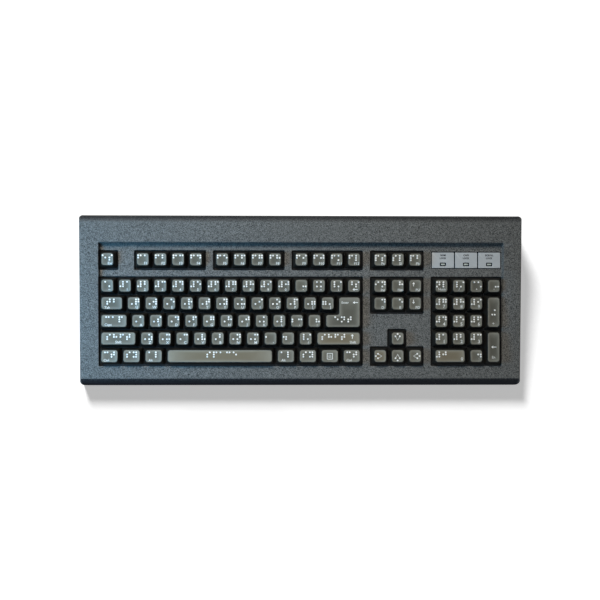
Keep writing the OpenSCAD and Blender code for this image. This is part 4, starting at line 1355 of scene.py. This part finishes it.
reach = stage["floorSize"] / 2
floorMesh = bpy.data.meshes.new("floor")
floorMesh.from_pydata(lift(rectangle(-reach, reach, -reach, reach), 0).tolist(), [], [(0, 1, 2, 3)])
floor = bpy.data.objects.new("floor", floorMesh)
bpy.context.scene.collection.objects.link(floor)
floorPaint = bpy.data.materials.new("floorPaint")
floorPaint.use_nodes = True
paint = Signal(floorPaint.node_tree)
pale = paint.node("BsdfDiffuse", None, {"Color": stage["floorColour"]})
glow = paint.node("Emission", None, {"Strength": stage["floorGlow"]})
bounce = paint.node("BsdfDiffuse", None, {"Color": (*[stage["floorBounce"]] * 3, 1.0)})
backdrop = paint.node("AddShader", None, {0: pale, 1: glow})
surface = paint.node("MixShader", None, {0: showsBackdrop(paint), 1: bounce, 2: backdrop})
shown = floorPaint.node_tree.nodes["Material Output"]
floorPaint.node_tree.links.new(surface.socket, shown.inputs["Surface"])
floorMesh.materials.append(floorPaint)
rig.stage(floor)
# what a lamp lights: the floor alone, or all but the floor
lit = {}
for name, state in (("floor", "INCLUDE"), ("keyboard", "EXCLUDE")):
    lit[name] = bpy.data.collections.new(name + "Light")
    lit[name].objects.link(floor)
    lit[name].collection_objects[0].light_linking.link_state = state


# Turn about x and z that points a lamp from one place at another.
def aimed(at, aim):
    toward = np.array(aim, float) - np.array(at, float)
    level = math.hypot(toward[0], toward[1])
    return (math.atan2(level, -toward[2]), 0.0, math.atan2(toward[1], toward[0]) - math.pi / 2)


for lamp in lamps:
    light = bpy.data.lights.new(lamp["name"], "AREA")
    light.shape = "DISK"
    light.size = lamp["size"]
    light.spread = math.radians(lamp["spread"])
    light.energy = lamp["watts"]
    light.color = lamp["tint"]
    holder = bpy.data.objects.new(lamp["name"], light)
    holder.location = lamp["at"]
    holder.rotation_euler = aimed(lamp["at"], lamp["aim"])
    holder.light_linking.receiver_collection = lit[lamp["lights"]]
    bpy.context.scene.collection.objects.link(holder)

world = bpy.data.worlds.new("paleSky")
bpy.context.scene.world = world
world.use_nodes = True
sky = Signal(world.node_tree)
back = world.node_tree.nodes["Background"]
back.inputs["Color"].default_value = (1.0, 1.0, 1.0, 1.0)
level = stage["skyLight"] + showsBackdrop(sky) * (1 - stage["skyLight"])
world.node_tree.links.new(level.socket, back.inputs["Strength"])

# Camera: over the keyboard and a little in front of it, as in the photograph.
view = {
    "at": (-27.4, -102.2, 1113.1),
    "turn": (5.388, -1.366, -0.077),
    "focal": 1000.0,  # in pixels of the picture
    "image": 600.0,
    "sensor": 36.0,
}
lens = bpy.data.cameras.new("camera")
lens.sensor_width = view["sensor"]
lens.lens = view["sensor"] * view["focal"] / view["image"]
camera = bpy.data.objects.new("camera", lens)
camera.location = [place * mm for place in view["at"]]
camera.rotation_euler = [math.radians(angle) for angle in view["turn"]]
bpy.context.scene.collection.objects.link(camera)
bpy.context.scene.camera = camera
bpy.context.scene.view_settings.view_transform = "Standard"
print("stage lit and camera placed")

visualBox = [list(corner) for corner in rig.bounds()]
with open("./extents.json", "w") as sizes:
    json.dump({"cad": cadBox, "visual": visualBox}, sizes)
print("sizes written", cadBox, visualBox)
